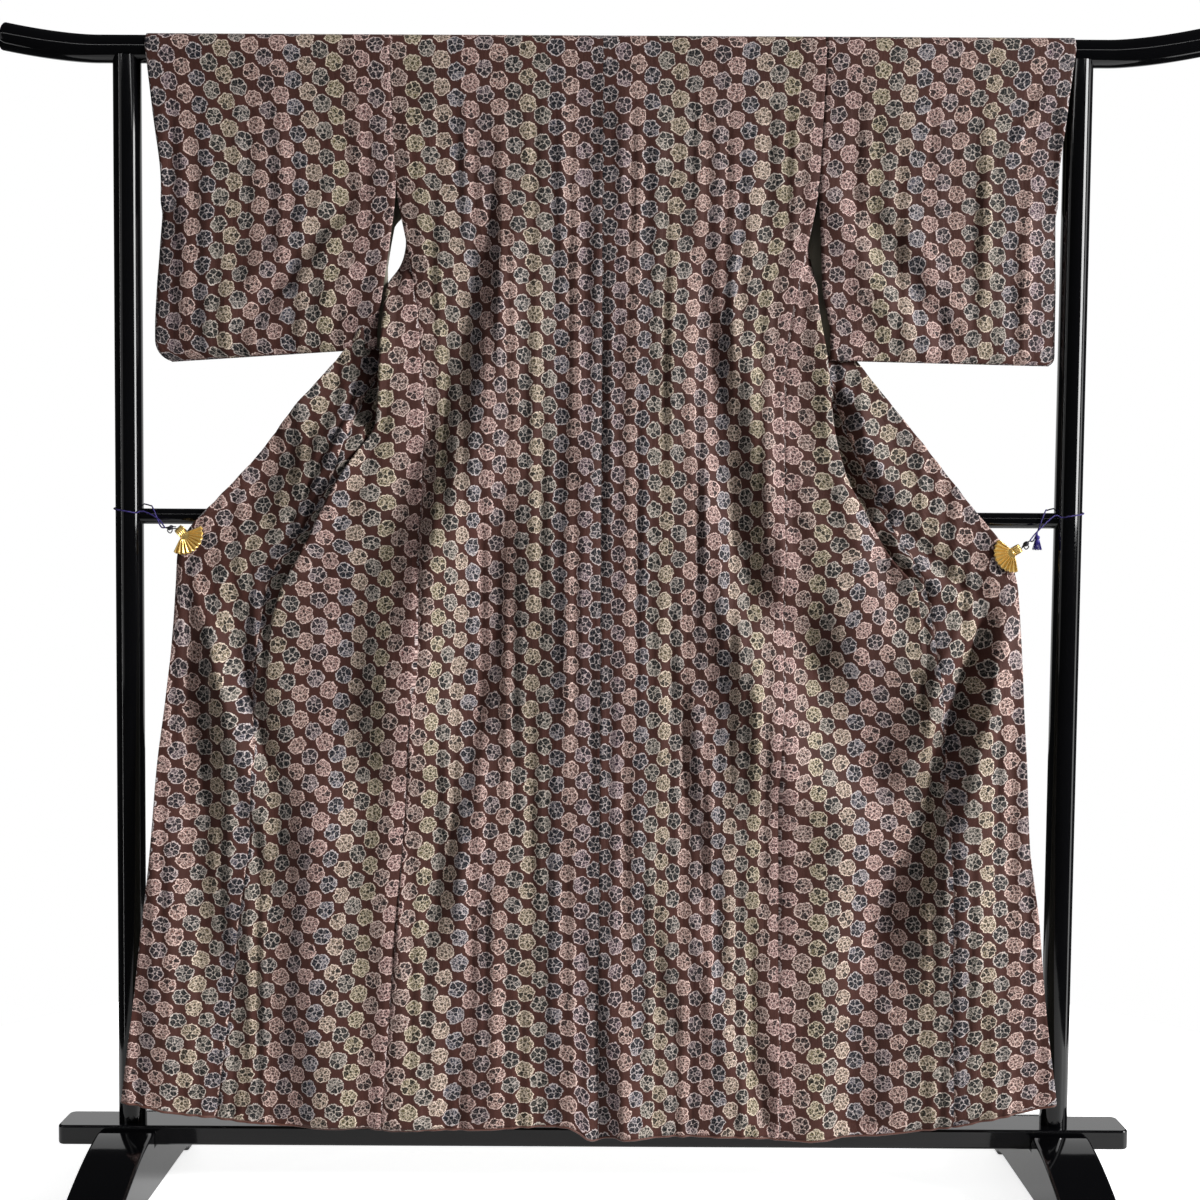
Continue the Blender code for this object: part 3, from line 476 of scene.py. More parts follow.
class Value:
    """A number inside a material, for plain sums with other numbers."""

    def __init__(self, nodes, socket):
        self.nodes = nodes
        self.socket = socket

    def __add__(self, other):
        return self.nodes.math("ADD", self, other)

    def __sub__(self, other):
        return self.nodes.math("SUBTRACT", self, other)

    def __rsub__(self, other):
        return self.nodes.math("SUBTRACT", other, self)

    def __mul__(self, other):
        return self.nodes.math("MULTIPLY", self, other)

    def __truediv__(self, other):
        return self.nodes.math("DIVIDE", self, other)

    def __gt__(self, other):
        return self.nodes.math("GREATER_THAN", self, other)

    def __lt__(self, other):
        return self.nodes.math("LESS_THAN", self, other)

    def __abs__(self):
        return self.nodes.math("ABSOLUTE", self)


class Nodes:
    """Short names for building one material's nodes."""

    def __init__(self, name):
        self.material = bpy.data.materials.new(name)
        self.material.use_nodes = True
        self.tree = self.material.node_tree
        self.shader = self.tree.nodes["Principled BSDF"]

    def add(self, kind, **values):
        node = self.tree.nodes.new(kind)
        for key, value in values.items():
            setattr(node, key, value)
        return node

    def put(self, socket, value):
        if isinstance(value, Value):
            self.tree.links.new(value.socket, socket)
        else:
            socket.default_value = (*value, 1) if isinstance(value, tuple) and len(value) == 3 else value

    def values(self, node):
        return [Value(self, socket) for socket in node.outputs]

    def math(self, operation, *numbers, clamp=False):
        node = self.add("ShaderNodeMath", operation=operation, use_clamp=clamp)
        for socket, number in zip(node.inputs, numbers):
            self.put(socket, number)
        return self.values(node)[0]

    def held(self, value):
        """A value held between 0 and 1."""
        return self.math("ADD", value, 0.0, clamp=True)

    def largest(self, value, *others):
        for other in others:
            value = self.math("MAXIMUM", value, other)
        return value

    def vector(self, x, y, z=0.0):
        node = self.add("ShaderNodeCombineXYZ")
        for socket, value in zip(node.inputs, (x, y, z)):
            self.put(socket, value)
        return self.values(node)[0]

    def object_place(self):
        """The place on the object itself, in metres."""
        return Value(self, self.add("ShaderNodeTexCoord").outputs["Object"])

    def split(self, vector):
        node = self.add("ShaderNodeSeparateXYZ")
        self.put(node.inputs[0], vector)
        return self.values(node)

    def mix(self, share, a, b, blend="MIX"):
        node = self.add("ShaderNodeMix", data_type="RGBA", blend_type=blend)
        self.put(node.inputs["Factor"], share)
        for socket, value in zip((node.inputs[6], node.inputs[7]), (a, b)):
            self.put(socket, value)
        return self.values(node)[2]

    def noises(self, vector, scale, detail, roughness=0.5):
        """Noise as a number and as a colour."""
        node = self.add("ShaderNodeTexNoise")
        self.put(node.inputs["Vector"], vector)
        node.inputs["Scale"].default_value = scale
        node.inputs["Detail"].default_value = detail
        node.inputs["Roughness"].default_value = roughness
        return self.values(node)

    def noise(self, vector, *recipe):
        return self.noises(vector, *recipe)[0]

    def chances(self, x, y, z):
        """A chance number and a chance colour for a cell."""
        node = self.add("ShaderNodeTexWhiteNoise", noise_dimensions="3D")
        self.put(node.inputs["Vector"], self.vector(x, y, z))
        return self.values(node)

    def soft_line(self, distance, half, edge):
        """1 within half of a line and 0 beyond a soft edge."""
        return self.held((half + edge - distance) / edge)

    def bump(self, height, strength, distance):
        node = self.add("ShaderNodeBump")
        node.inputs["Strength"].default_value = strength
        node.inputs["Distance"].default_value = distance
        self.put(node.inputs["Height"], height)
        self.put(self.shader.inputs["Normal"], self.values(node)[0])

    def finish(self, color, roughness, **sockets):
        self.put(self.shader.inputs["Base Color"], color)
        self.put(self.shader.inputs["Roughness"], roughness)
        for name, value in sockets.items():
            self.shader.inputs[name.replace("_", " ")].default_value = value
        return self.material


GROUND = srgb(82, 47, 40)
GROUND_DEEP = srgb(56, 33, 27)
DARK_PETAL = srgb(10, 11, 15)
PALE_LINE = srgb(255, 238, 228)

# How far noise moves a place on the cloth, in metres, so that no two roundels are alike
SLOW_SHAKE, QUICK_SHAKE = 0.0052, 0.0040

# Noise on the cloth: spots per metre, detail and roughness
SLOW, QUICK, PATCHES = (85.0, 1.0), (330.0, 1.0), (9.0, 2.0)
MOTTLE, BLOTCH, WEAR, FLECK = (560.0, 2.0, 0.65), (260.0, 1.0), (480.0, 2.0, 0.6), (620.0, 3.0, 0.7)
CREPE, PUCKER, CRINKLE, CRINKLE_STRETCH = (1500.0, 2.0, 0.6), (260.0, 1.0), (170.0, 2.0, 0.55), 0.07

# Lines of a roundel, as half width and soft edge in shares of its radius
RIM_LINE, PARTING_LINE, ARCH_LINE, RING_LINE = (0.050, 0.042), (0.022, 0.040), (0.010, 0.050), (0.016, 0.050)
EYE, DASH_LINE, VEIN_LINE = (0.13, 0.06), (0.020, 0.040), (0.05, 0.09)

# Places in a roundel, in shares of its radius: its rim, inner arch, ring round the eye and dash in each petal
RIM_AT, ARCH_AT, RING_AT, DASH_AT, DASH_HALF = 0.95, 0.66, 0.24, 0.52, 0.15
PETAL_ROUND, ARCH_ROUND, WIDE_ANGLE = 0.42, 1.3, 1.15
VEINS_PER_METRE = 215.0


def roundel_cloth(name, direction, first):
    """Silk crepe with rows of small flower roundels; the column's place across the bolt gives its colour."""
    n = Nodes(name)
    place = Value(n, n.add("ShaderNodeUVMap", uv_map="cloth").outputs[0])
    slow = n.split(n.noises(place, *SLOW)[1])
    quick = n.split(n.noises(place, *QUICK)[1])
    across_bolt, down_bolt, _ = n.split(place)
    u = across_bolt + (slow[0] - 0.5) * SLOW_SHAKE + (quick[0] - 0.5) * QUICK_SHAKE
    v = down_bolt + (slow[1] - 0.5) * SLOW_SHAKE + (quick[1] - 0.5) * QUICK_SHAKE

    def from_roundel(i):
        """Way across and down from the nearest roundel of column i, its number there and the square away."""
        across = u - (i + 0.5) * STEP_ACROSS
        start = v - i * STEP_DOWN
        j = n.math("ROUND", start / REPEAT_DOWN)
        down = start - j * REPEAT_DOWN
        return across, down, j, across * across + down * down

    left = n.math("FLOOR", u / STEP_ACROSS - 0.5)
    i = left + (from_roundel(left + 1.0)[3] < from_roundel(left)[3])
    across, down, j, square = from_roundel(i)
    chance_turn, chance_petals, chance_size = n.split(n.chances(i, j, 3.7)[1])

    ramp = n.add("ShaderNodeValToRGB")
    ramp.color_ramp.interpolation = "CONSTANT"
    for k, row in enumerate(HUES):
        stop = ramp.color_ramp.elements[k] if k < 1 else ramp.color_ramp.elements.new(k / len(HUES))
        stop.position = k / len(HUES)
        shade = dict(zip(HUE_COLUMNS, row))
        stop.color = (*srgb(shade["red"], shade["green"], shade["blue"]), shade["dark"])
    ramp.color_ramp.elements.remove(ramp.color_ramp.elements[-1])
    n.put(ramp.inputs[0], (i * direction + (first + 0.5)) / len(HUES))
    hue, dark_share = n.values(ramp)

    # Rings and petals
    r = n.math("SQRT", square) / ((chance_size * 0.08 + 0.96) * ROUNDEL)
    petals = (chance_petals > 0.5) + 5.0
    turned = (n.math("ARCTAN2", down, across) / (2 * math.pi) + chance_turn) * petals
    petal = n.math("FLOORED_MODULO", n.math("FLOOR", turned), petals)
    aside = abs(n.math("FRACT", turned) - 0.5)
    own = n.chances(i * 11.0 + petal, j, 8.3)[0]
    rim = aside * aside * -PETAL_ROUND + RIM_AT + (own - 0.5) * 0.07
    inside = n.held((rim + 0.07 - r) / 0.05)
    outer = n.soft_line(abs(r - rim), *RIM_LINE)
    parting = n.soft_line((0.5 - aside) * r * WIDE_ANGLE, *PARTING_LINE) * (r > 0.16)
    arch = n.soft_line(abs(r - (aside * aside * -ARCH_ROUND + ARCH_AT)), *ARCH_LINE)
    ring = n.soft_line(abs(r - RING_AT), *RING_LINE)
    eye = n.soft_line(r, *EYE)
    dash = n.soft_line(aside * r * WIDE_ANGLE, *DASH_LINE) * (abs(r - DASH_AT) < DASH_HALF)
    lines = n.largest(outer, parting * 0.90, ring * 0.75) * inside
    net = n.add("ShaderNodeTexVoronoi", voronoi_dimensions="2D", feature="DISTANCE_TO_EDGE")
    n.put(net.inputs["Vector"], n.vector(u, v))
    net.inputs["Scale"].default_value = VEINS_PER_METRE
    veins = n.soft_line(Value(n, net.outputs["Distance"]), *VEIN_LINE)

    # A dark petal is nearly black between its lines, and a light one is mottled with its column's colour
    light = 1.0 - (own < dark_share)
    mottle = n.held(n.noise(place, *MOTTLE) * 5.2 - 2.1)
    blotch = n.held(n.noise(place, *BLOTCH) * 3.0 - 0.95)
    tint = n.largest(mottle * (light * 0.12 + 0.05), arch * (light * 0.26 + 0.12))
    tint = n.held(light * 0.02 + tint) * (1.0 - dash * 0.8)
    fill = n.mix(tint, DARK_PETAL, n.mix(0.12, hue, GROUND))
    ground = n.mix(n.noise(place, *PATCHES), GROUND_DEEP, GROUND)

    # The pale lines are frayed by wear, and stop at the dark eye
    fray = n.held(n.noise(place, *WEAR) * 5.0 - 1.65)
    vein = veins * inside * (light * 0.55 + 0.16)
    spots = light * inside * mottle * blotch * (1.0 - dash)
    strength = n.largest(lines * fray, vein * fray, spots * 0.30) * (1.0 - eye * 0.95)
    color = n.mix(strength, n.mix(inside, ground, fill), n.mix(0.64, hue, PALE_LINE))
    fleck = n.noise(place, *FLECK) * 1.1 + 0.40
    color = n.mix(1.0, color, n.vector(fleck, fleck, fleck), "MULTIPLY")

    # Crepe grain, and fine crinkles that run down the bolt
    grain = n.noise(place, *CREPE) + n.noise(place, *PUCKER) * 1.4
    crinkle = n.noise(n.vector(across_bolt, down_bolt * CRINKLE_STRETCH), *CRINKLE)
    n.bump(grain + crinkle * 3.2, 0.55, 0.0005)
    return n.finish(color, 0.68, Specular_IOR_Level=0.2, Sheen_Weight=0.06, Sheen_Roughness=0.45)


def plain_silk(name, low, high):
    """Plain silk for the lining and the rolled hem."""
    n = Nodes(name)
    weave = n.noise(n.object_place(), 700.0, 3.0, 0.6)
    n.bump(weave, 0.35, 0.0004)
    return n.finish(n.mix(weave, low, high), 0.55, Sheen_Weight=0.25, Specular_IOR_Level=0.35)


def lacquer(name):
    """Deep black lacquer with a faint orange-peel ripple and slightly duller patches."""
    n = Nodes(name)
    place = n.object_place()
    n.bump(n.noise(place, 26.0, 1.0), 0.05, 0.002)
    dust = n.noise(place, 9.0, 3.0, 0.6)
    color = n.mix(dust, srgb(4, 4, 5), srgb(9, 9, 11))
    return n.finish(color, dust * 0.06 + 0.045, Coat_Weight=0.2, Coat_Roughness=0.03, Specular_IOR_Level=0.42)


def gilt(name):
    """Polished gold plate with fine brush marks along the ribs."""
    n = Nodes(name)
    marks = n.noise(n.object_place(), 900.0, 2.0)
    color = n.mix(marks, srgb(232, 186, 92), srgb(250, 222, 150))
    n.bump(marks, 0.12, 0.0002)
    return n.finish(color, marks * 0.12 + 0.24, Metallic=0.72)


def cord_silk(name, low, high):
    """Twisted silk cord: thin slanting plies from a wave running round and along it; the same wave paints
    shade into the grooves between the plies and lightens their crests.
    """
    n = Nodes(name)
    along, around, _ = n.split(Value(n, n.add("ShaderNodeUVMap", uv_map="UVMap").outputs[0]))
    share = n.math("SINE", along * 900.0 + around * (4 * math.pi)) * 0.5 + 0.5
    n.bump(share, 0.6, 0.0004)
    # Painted shade: the cord's colour is darker in the grooves between the plies and lighter on their crests.
    return n.finish(n.mix(share, low, high), 0.6, Sheen_Weight=0.08)


def ride(made, slot, *nodes):
    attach(made, "root")
    if nodes:
        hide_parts(*nodes)


def link(name, data, *looks):
    made = bpy.data.objects.new(name, data)
    bpy.context.scene.collection.objects.link(made)
    for look in looks:
        data.materials.append(look)
    return made


def smooth_object(name, mesh, *looks):
    """Ends a mesh and shows it as a smooth object."""
    data = bpy.data.meshes.new(name)
    mesh.to_mesh(data)
    mesh.free()
    data.shade_smooth()
    return link(name, data, *looks)


def grid_sheet(name, rows, uvs, looks, wall, closed=False):
    """A thin shell: a grid of points with its place on the cloth, and the last look on its inner face."""
    mesh = bmesh.new()
    layer = mesh.loops.layers.uv.new("cloth")
    verts = [[mesh.verts.new(point) for point in row] for row in rows]
    count = len(rows[0])
    for a in range(len(rows) - 1):
        for i in range(count if closed else count - 1):
            j = (i + 1) % count
            corners = ((a, i), (a + 1, i), (a + 1, j), (a, j))
            face = mesh.faces.new([verts[b][k] for b, k in corners])
            for loop, (b, k) in zip(face.loops, corners):
                last = closed and j == 0 and k == 0
                loop[layer].uv = uvs[b][count] if last else uvs[b][k]
    bmesh.ops.remove_doubles(mesh, verts=mesh.verts, dist=0.00003)
    made = smooth_object(name, mesh, *looks)
    thick = made.modifiers.new("thickness", "SOLIDIFY")
    thick.thickness = wall
    thick.offset = 0
    thick.use_quality_normals = True
    thick.material_offset = len(looks) - 1
    return made


def arclengths(row):
    steps = np.linalg.norm(np.diff(np.array(row), axis=0), axis=1)
    return np.concatenate([[0], np.cumsum(steps)])


def shares(count, edge=0.006):
    """Places from 0 to 1, closer together near both ends."""
    near = edge * np.array([0, 0.35, 0.7, 1.2])
    return np.concatenate([near, np.linspace(edge * 2, 1 - edge * 2, count), 1 - near[::-1]])


def points_row(side, x, y, z):
    """A row of points at one side's places across, with depths and heights that may be one number."""
    return np.stack(np.broadcast_arrays(side * x, y, z), axis=1)


# Grids of the shells: strips across a panel, rows round the rod and the step between rows below it
BACK_STRIPS, OKUMI_STRIPS, SLEEVE_STRIPS = 58, 26, 62
BACK_ROD_ROWS, FRONT_ROD_ROWS, SLEEVE_ROD_ROWS = 14, 9, 22
ROW_STEP = 0.005
SLEEVE_LEVELS = np.concatenate([np.linspace(1.0, 0.04, 78), [0.03, 0.02, 0.012, 0.006, 0.002]])

# A seam's dip, and the seam allowance behind the neighbour
SEAM_DIP, SEAM_HALF = 0.0011, 0.0022
TUCK, TUCK_DEPTH = 0.004, 0.0026

# Share of the solids' vertical folds that shows on the smooth backs, and how far the drape eases in from
# the rod, from a side seam and from the armhole
BACK_DRAPE = 0.4
ROD_EASE, SIDE_EASE, ARM_EASE = 0.25, 0.03, 0.05


def hung_levels(top):
    return np.linspace(top, HEM_Z, int((top - HEM_Z) / ROW_STEP))


def seam_dip(distance):
    """A seam pulls the cloth in along its line."""
    return SEAM_DIP * np.exp(-((distance / SEAM_HALF) ** 2))


def tucked(row, side, before=False, after=False):
    """A row of points with the seam allowance that runs on behind the neighbour at one end or both."""
    parts = [row]
    if before:
        parts.insert(0, row[:1] + np.array([(-side * TUCK, TUCK_DEPTH, 0)]))
    if after:
        parts.append(row[-1:] + np.array([(side * TUCK, TUCK_DEPTH, 0)]))
    return np.concatenate(parts)


def over_rod(angle):
    radius = ROD_RADIUS + GAP * 2 + SHELL / 2
    return radius * np.sin(angle), ROD_Z + radius * np.cos(angle)


def build_back(side, name, looks):
    across = shares(BACK_STRIPS)
    width = outline(side, ROD_Z, "side")
    rows = []
    for angle in np.linspace(SHOULDER_ANGLE, -math.pi / 2, BACK_ROD_ROWS)[:-1]:
        row = points_row(side, GAP / 2 + (width - GAP / 2) * across, *over_rod(angle))
        rows.append(tucked(row, side, side < 0, True))
    for z in hung_levels(ROD_Z):
        edge = outline(side, z, "side")
        x = GAP / 2 + (edge - GAP / 2) * across
        rise = smooth((ROD_Z - z) / ROD_EASE)
        bulge = CENTRE_BULGE * rise * (1 - (x / edge) ** 2)
        inside = smooth((edge - x) / SIDE_EASE) if z > CLIP_Z else 1.0
        own = creases(side * x, z, CREASES, 0.0) * (smooth((edge - x) / ARM_EASE) if z > SIDE_SEAM_Z else 1.0)
        y = DEPTHS["near"](z) - bulge + (BACK_DRAPE * drape(side, x, z) + waves(side * x, z)) * inside + own
        y = y + (seam_dip(x) + seam_dip(edge - x)) * rise
        row = points_row(side, x, y, hem_height(side, x, z))
        free = z < ARMHOLE_Z
        rows.append(tucked(np.concatenate([row, row[-1:]]) if free else row, side, side < 0, not free))
    middle = len(rows[0]) // 2
    places = []
    down = 0.0
    for k, row in enumerate(rows):
        down += np.linalg.norm(row[middle] - rows[max(k - 1, 0)][middle])
        length = arclengths(row)
        places.append([(side * a / length[-1] * width, down) for a in length])
    made = grid_sheet(name + "_cloth", rows, places, looks, SHELL)
    ride(made, "crepe", name)
    return made, rows[-1]


# Points along a front's strip before its pleat and round each turn of it, and how far the folds ease in
STRIP_SHARES = (0.0, 0.03, 0.06, 0.12, 0.22, 0.34, 0.46, 0.58, 0.70, 0.80, 0.90)
PLEAT_STEPS, FRONT_EASE = 8, 0.04

# Place of the hem down the bolt, and the step along the bolt for each row round the rod
BOLT_AT_HEM, ROD_ROW_STEP = 1.5, 0.004


def front_section(side, z, dense=4):
    """Section of a front at one height: strip, fold, hidden layer, fold and outer strip, as in the solid."""
    begin = outline(side, z, "side") + (GAP if z < SIDE_SEAM_Z + 0.01 else -GAP)
    end = outline(side, z, "okumi")
    start, middle = math.radians(TURN["start"](z)), math.radians(TURN["middle"](z))
    radius = PLEAT_RADIUS
    strip = outline(side, z, "pleat") - begin - radius * math.sin(min(middle, math.pi / 2)) - 0.001
    strip = max(strip, 0.0) * math.cos(min(start, math.pi / 2))
    x, y = begin, 0.0
    path = []

    def run(length, heading, share):
        nonlocal x, y
        for t in share:
            path.append((x + length * math.cos(heading) * t, y + length * math.sin(heading) * t))
        x += length * math.cos(heading)
        y += length * math.sin(heading)

    def bend(heading, after, count):
        nonlocal x, y
        sign = 1 if after >= heading else -1
        cx, cy = x - sign * radius * math.sin(heading), y + sign * radius * math.cos(heading)
        for i in range(count):
            a = heading + (after - heading) * i / count
            path.append((cx + sign * radius * math.sin(a), cy - sign * radius * math.cos(a)))
        x, y = cx + sign * radius * math.sin(after), cy - sign * radius * math.cos(after)

    run(strip, start, STRIP_SHARES)
    bend(start, middle, PLEAT_STEPS)
    in_folds = radius * (middle - start) + radius * middle
    if z > OKUMI_TOP_Z:
        hidden = x - end + TURN["turned_back"](z)
    else:
        hidden = (FRONT_WIDTH - strip - in_folds - (end - x)) / 2
    if middle < math.pi:
        hidden = 0.0
    hidden = max(hidden, LAST_PLEAT_LENGTH) * smooth(middle / math.radians(40))
    run(hidden, middle, np.linspace(0, 1, 2 * dense, endpoint=False))
    bend(middle, 0.0, PLEAT_STEPS)
    tail = np.concatenate([np.linspace(0, 0.965, 9 * dense, endpoint=False), [0.965, 0.980, 0.992, 1.0]])
    for t in tail:
        path.append((x + (end - x) * t, y))
    return np.array(path)


def front_depth(side, x, z, behind=1.0):
    inside = smooth((x - outline(side, z, "side") + 0.01) / FRONT_EASE)
    own = creases(side * x, z, CREASES, behind) * smooth((SIDE_SEAM_Z - z) / FRONT_EASE)
    return DEPTHS["far"](z) + (drape(side, x, z) + waves(side * x, z)) * inside + own


def seam_length(side, column, z):
    """Length of a seam from the hem up to a height."""
    zs = np.linspace(HEM_Z, z, 40)
    xs = outline(side, zs, column)
    return float(np.sum(np.hypot(np.diff(xs), np.diff(zs))))


def build_front(side, name, looks):
    rows, places = [], []
    start = SHOULDER_ANGLE + 2 * GAP / ROD_RADIUS
    top = front_section(side, ROD_Z)
    for angle in np.linspace(start, math.pi / 2, FRONT_ROD_ROWS)[:-1]:
        lift = ROD_RADIUS + GAP * 2 + SHELL / 2 + top[:, 1]
        row = points_row(side, top[:, 0], lift * math.sin(angle), ROD_Z + lift * math.cos(angle))
        rows.append(np.concatenate([row[:1], row]))
    levels = hung_levels(ROD_Z)
    for z in levels:
        section = front_section(side, z)
        x = section[:, 0]
        ends = seam_dip(x[0] - x) * (z < SIDE_SEAM_Z) + seam_dip(x[-1] - x) * (z < OKUMI_TOP_Z)
        behind = np.clip(section[:, 1] / (4 * PLEAT_RADIUS), 0, 1)
        y = section[:, 1] + front_depth(side, x, z, behind) + ends
        row = points_row(side, x, y, hem_height(side, x, z))
        rows.append(tucked(row, side, True) if z < SIDE_SEAM_Z - 0.01 else np.concatenate([row[:1], row]))
    rod_rows = FRONT_ROD_ROWS - 1
    for k, row in enumerate(rows):
        z = levels[max(k - rod_rows, 0)]
        length = np.maximum(arclengths(row) - arclengths(row[:2])[-1], 0)
        near, far = seam_length(side, "side", z), seam_length(side, "okumi", z)
        begin = BOLT_AT_HEM - ROD_ROW_STEP * max(rod_rows - k, 0)
        share = length / length[-1]
        places.append([(side * t * FRONT_WIDTH, begin - (near * (1 - t) + far * t)) for t in share])
    made = grid_sheet(name + "_cloth", rows, places, looks, SHELL)
    ride(made, "crepe", name)
    return made, rows[-1]


def outer_layer(side, z):
    return front_section(side, z, 1)[-1][1]


# Height over which an overlap panel's lean is taken
LEAN_SPAN = 0.11

# How far the front edges lie inside the solids' at the hem, and the height where that begins
EDGE_IN, EDGE_IN_TOP = 0.008, 0.75

# Rolls of a front edge: distance in from the edge, half width and depth
ROLL_COLUMNS = ("place", "half", "depth")
EDGE_ROLLS = ((0.0, 0.0018, 0.0010), (0.0055, 0.0013, 0.0005))


def edge_rolls(distance):
    total = 0.0
    for row in EDGE_ROLLS:
        roll = dict(zip(ROLL_COLUMNS, row))
        total = total + roll["depth"] * np.exp(-(((distance - roll["place"]) / roll["half"]) ** 2))
    return total


def build_okumi(side, name, looks):
    across = shares(OKUMI_STRIPS, 0.012)
    rows, places = [], []
    for z in hung_levels(OKUMI_TOP_Z):
        inner = outline(side, z, "okumi") + OKUMI_SEAM_GAP
        outer = outline(side, z, "edge") - EDGE_IN * smooth((EDGE_IN_TOP - z) / (EDGE_IN_TOP - HEM_Z))
        x = inner + (outer - inner) * across
        y = outer_layer(side, z) + front_depth(side, x, z) + seam_dip(x - inner)
        y = y + smooth((outer - inner) / 0.04) * edge_rolls(outer - x)
        rows.append(tucked(points_row(side, x, y, hem_height(side, x, z)), side, True))
        below, above = outline(side, z - LEAN_SPAN, "okumi"), outline(side, z + LEAN_SPAN, "okumi")
        lean = math.atan2(below - above, 2 * LEAN_SPAN)
        begin = BOLT_AT_HEM - seam_length(side, "okumi", z)
        away = np.concatenate([[-TUCK], x - inner])
        places.append([(side * a * math.cos(lean), begin + a * math.sin(lean)) for a in away])
    made = grid_sheet(name + "_cloth", rows, places, looks, SHELL)
    ride(made, "crepe", name)
    return made, rows[-1]


def collar_depth(side, x, z):
    loose = COLLAR_LOOSE * math.exp(-(((z - OKUMI_TOP_Z - 0.04) / 0.09) ** 2))
    return outer_layer(side, z) + front_depth(side, x, z) + COLLAR_STEP + loose


# Shares across the folded collar, closer together at its edges
COLLAR_SHARES = (0, 0.03, 0.07, 0.2, 0.35, 0.5, 0.65, 0.8, 0.93, 0.97, 1)


def build_collar(name, looks):
    paths = {}
    for side in (-1, 1):
        paths[side] = []
        for z in np.linspace(ROD_Z - 0.014, CLIP_Z + 0.004, 120):
            x = float(outline(side, z, "edge"))
            paths[side].append(Vector((side * (x - 0.001), float(collar_depth(side, x, z)), z)))
    neck_y = paths[-1][0].y
    neck = [Vector((x, neck_y, ROD_Z - 0.003 - 0.9 * x * x)) for x in np.linspace(-0.066, 0.066, 15)]
    line = list(reversed(paths[-1])) + neck + paths[1]
    rows, places = [], []
    along = 0.0
    for k, point in enumerate(line):
        along += (point - line[max(k - 1, 0)]).length
        slant = math.radians(float(SLANT(abs(point.x))))
        side = -1 if point.x < 0 else 1
        down = Vector((-side * math.sin(slant), 0, -math.cos(slant)))
        row = []
        for t in COLLAR_SHARES:
            spot = point + down * (COLLAR_WIDTH * t)
            if abs(point.x) > NECK_HALF - 0.001:
                spot.y = float(collar_depth(side, abs(spot.x), spot.z))
            row.append(tuple(spot))
        rows.append(row)
        places.append([(COLLAR_WIDTH * t, along) for t in COLLAR_SHARES])
    made = grid_sheet(name + "_cloth", rows, places, looks, COLLAR_SHELL)
    ride(made, "crepe", name)


# Flat sizes of a sleeve panel as cut
SLEEVE_FLAT = (0.34, 0.90)

# How a sleeve's two layers come together: crowding of strips at the body, and how far in from the cuff and
# up from the bottom they close
SLEEVE_CROWD, CUFF_CLOSE, BOTTOM_CLOSE = 1.15, 0.045, 0.012


def build_sleeve(side, name, looks):
    rows, places = [], []
    low_in, low_out = SLEEVE_BOTTOM[side]
    corner = SLEEVE_CORNER[side]
    angles = np.linspace(-math.pi / 2, math.pi / 2, SLEEVE_ROD_ROWS)[1:-1]
    for i in range(SLEEVE_STRIPS + 1):
        share = 1 - (1 - i / SLEEVE_STRIPS) ** SLEEVE_CROWD
        bottom = low_in + (low_out - low_in) * share
        near, far = [], []
        for t in SLEEVE_LEVELS:
            z = bottom + (ROD_Z - bottom) * t
            at = {column: SLEEVE[side, column](z) for column in SLEEVE_COLUMNS[1:]}
            drop = max(corner - (z - bottom), 0.0)
            outer = at["outer"] - corner + math.sqrt(max(corner**2 - drop**2, 0.0))
            x = at["inner"] + (outer - at["inner"]) * share
            near_y = at["near_in"] * (1 - share) + at["near_out"] * share
            far_y = at["far_in"] * (1 - share) + at["far_out"] * share
            middle = (near_y + far_y) / 2
            zipped = smooth((CUFF_Z - z) / 0.02) * (1 - math.sqrt(min((outer - x) / CUFF_CLOSE, 1.0)))
            close = max(zipped, 1 - math.sqrt(min((z - bottom) / BOTTOM_CLOSE, 1.0)))
            from_body = x - at["inner"]
            sway = waves(side * x * 0.8 + 0.3, z) * 0.8 * (1 - close) * smooth(from_body / 0.05)
            own = creases(side * x, z, SLEEVE_CREASES) * (1 - close) * smooth(from_body / 0.02)
            near_y = near_y + (middle - near_y) * close + sway + own + seam_dip(from_body) * (z > ARMHOLE_Z)
            far_y = far_y + (middle - far_y) * close + abs(sway) + max(own, 0)
            near.append((side * x, near_y, z))
            far.append((side * (x - LAP[side](z) * max(1 - share * 6, 0.0)), far_y, z))
        base = (near[-1][0], (near[-1][1] + far[-1][1]) / 2, bottom)
        arc = [(near[0][0], *over_rod(a)) for a in angles]
        row = np.array(list(reversed(near)) + arc + far + [base])
        rows.append(row)
        length = arclengths(np.vstack([row, row[:1]]))
        places.append([(side * (share - 1) * SLEEVE_FLAT[0], length[len(near)] - a) for a in length])
    if side < 0:
        rows.reverse()
        places.reverse()
    made = grid_sheet(name + "_cloth", rows, places, looks, SHELL, closed=True)
    ride(made, "crepe", name)


def face_front(made):
    """Turns a sheet's faces over if its shown side doesn't face the front."""
    mesh = bmesh.new()
    mesh.from_mesh(made.data)
    if sum(face.normal.y * face.calc_area() for face in mesh.faces) > 0:
        bmesh.ops.reverse_faces(mesh, faces=mesh.faces)
        mesh.to_mesh(made.data)
    mesh.free()


# Share of a tube's radius at its rounded ends
ROUNDED_END = 0.55


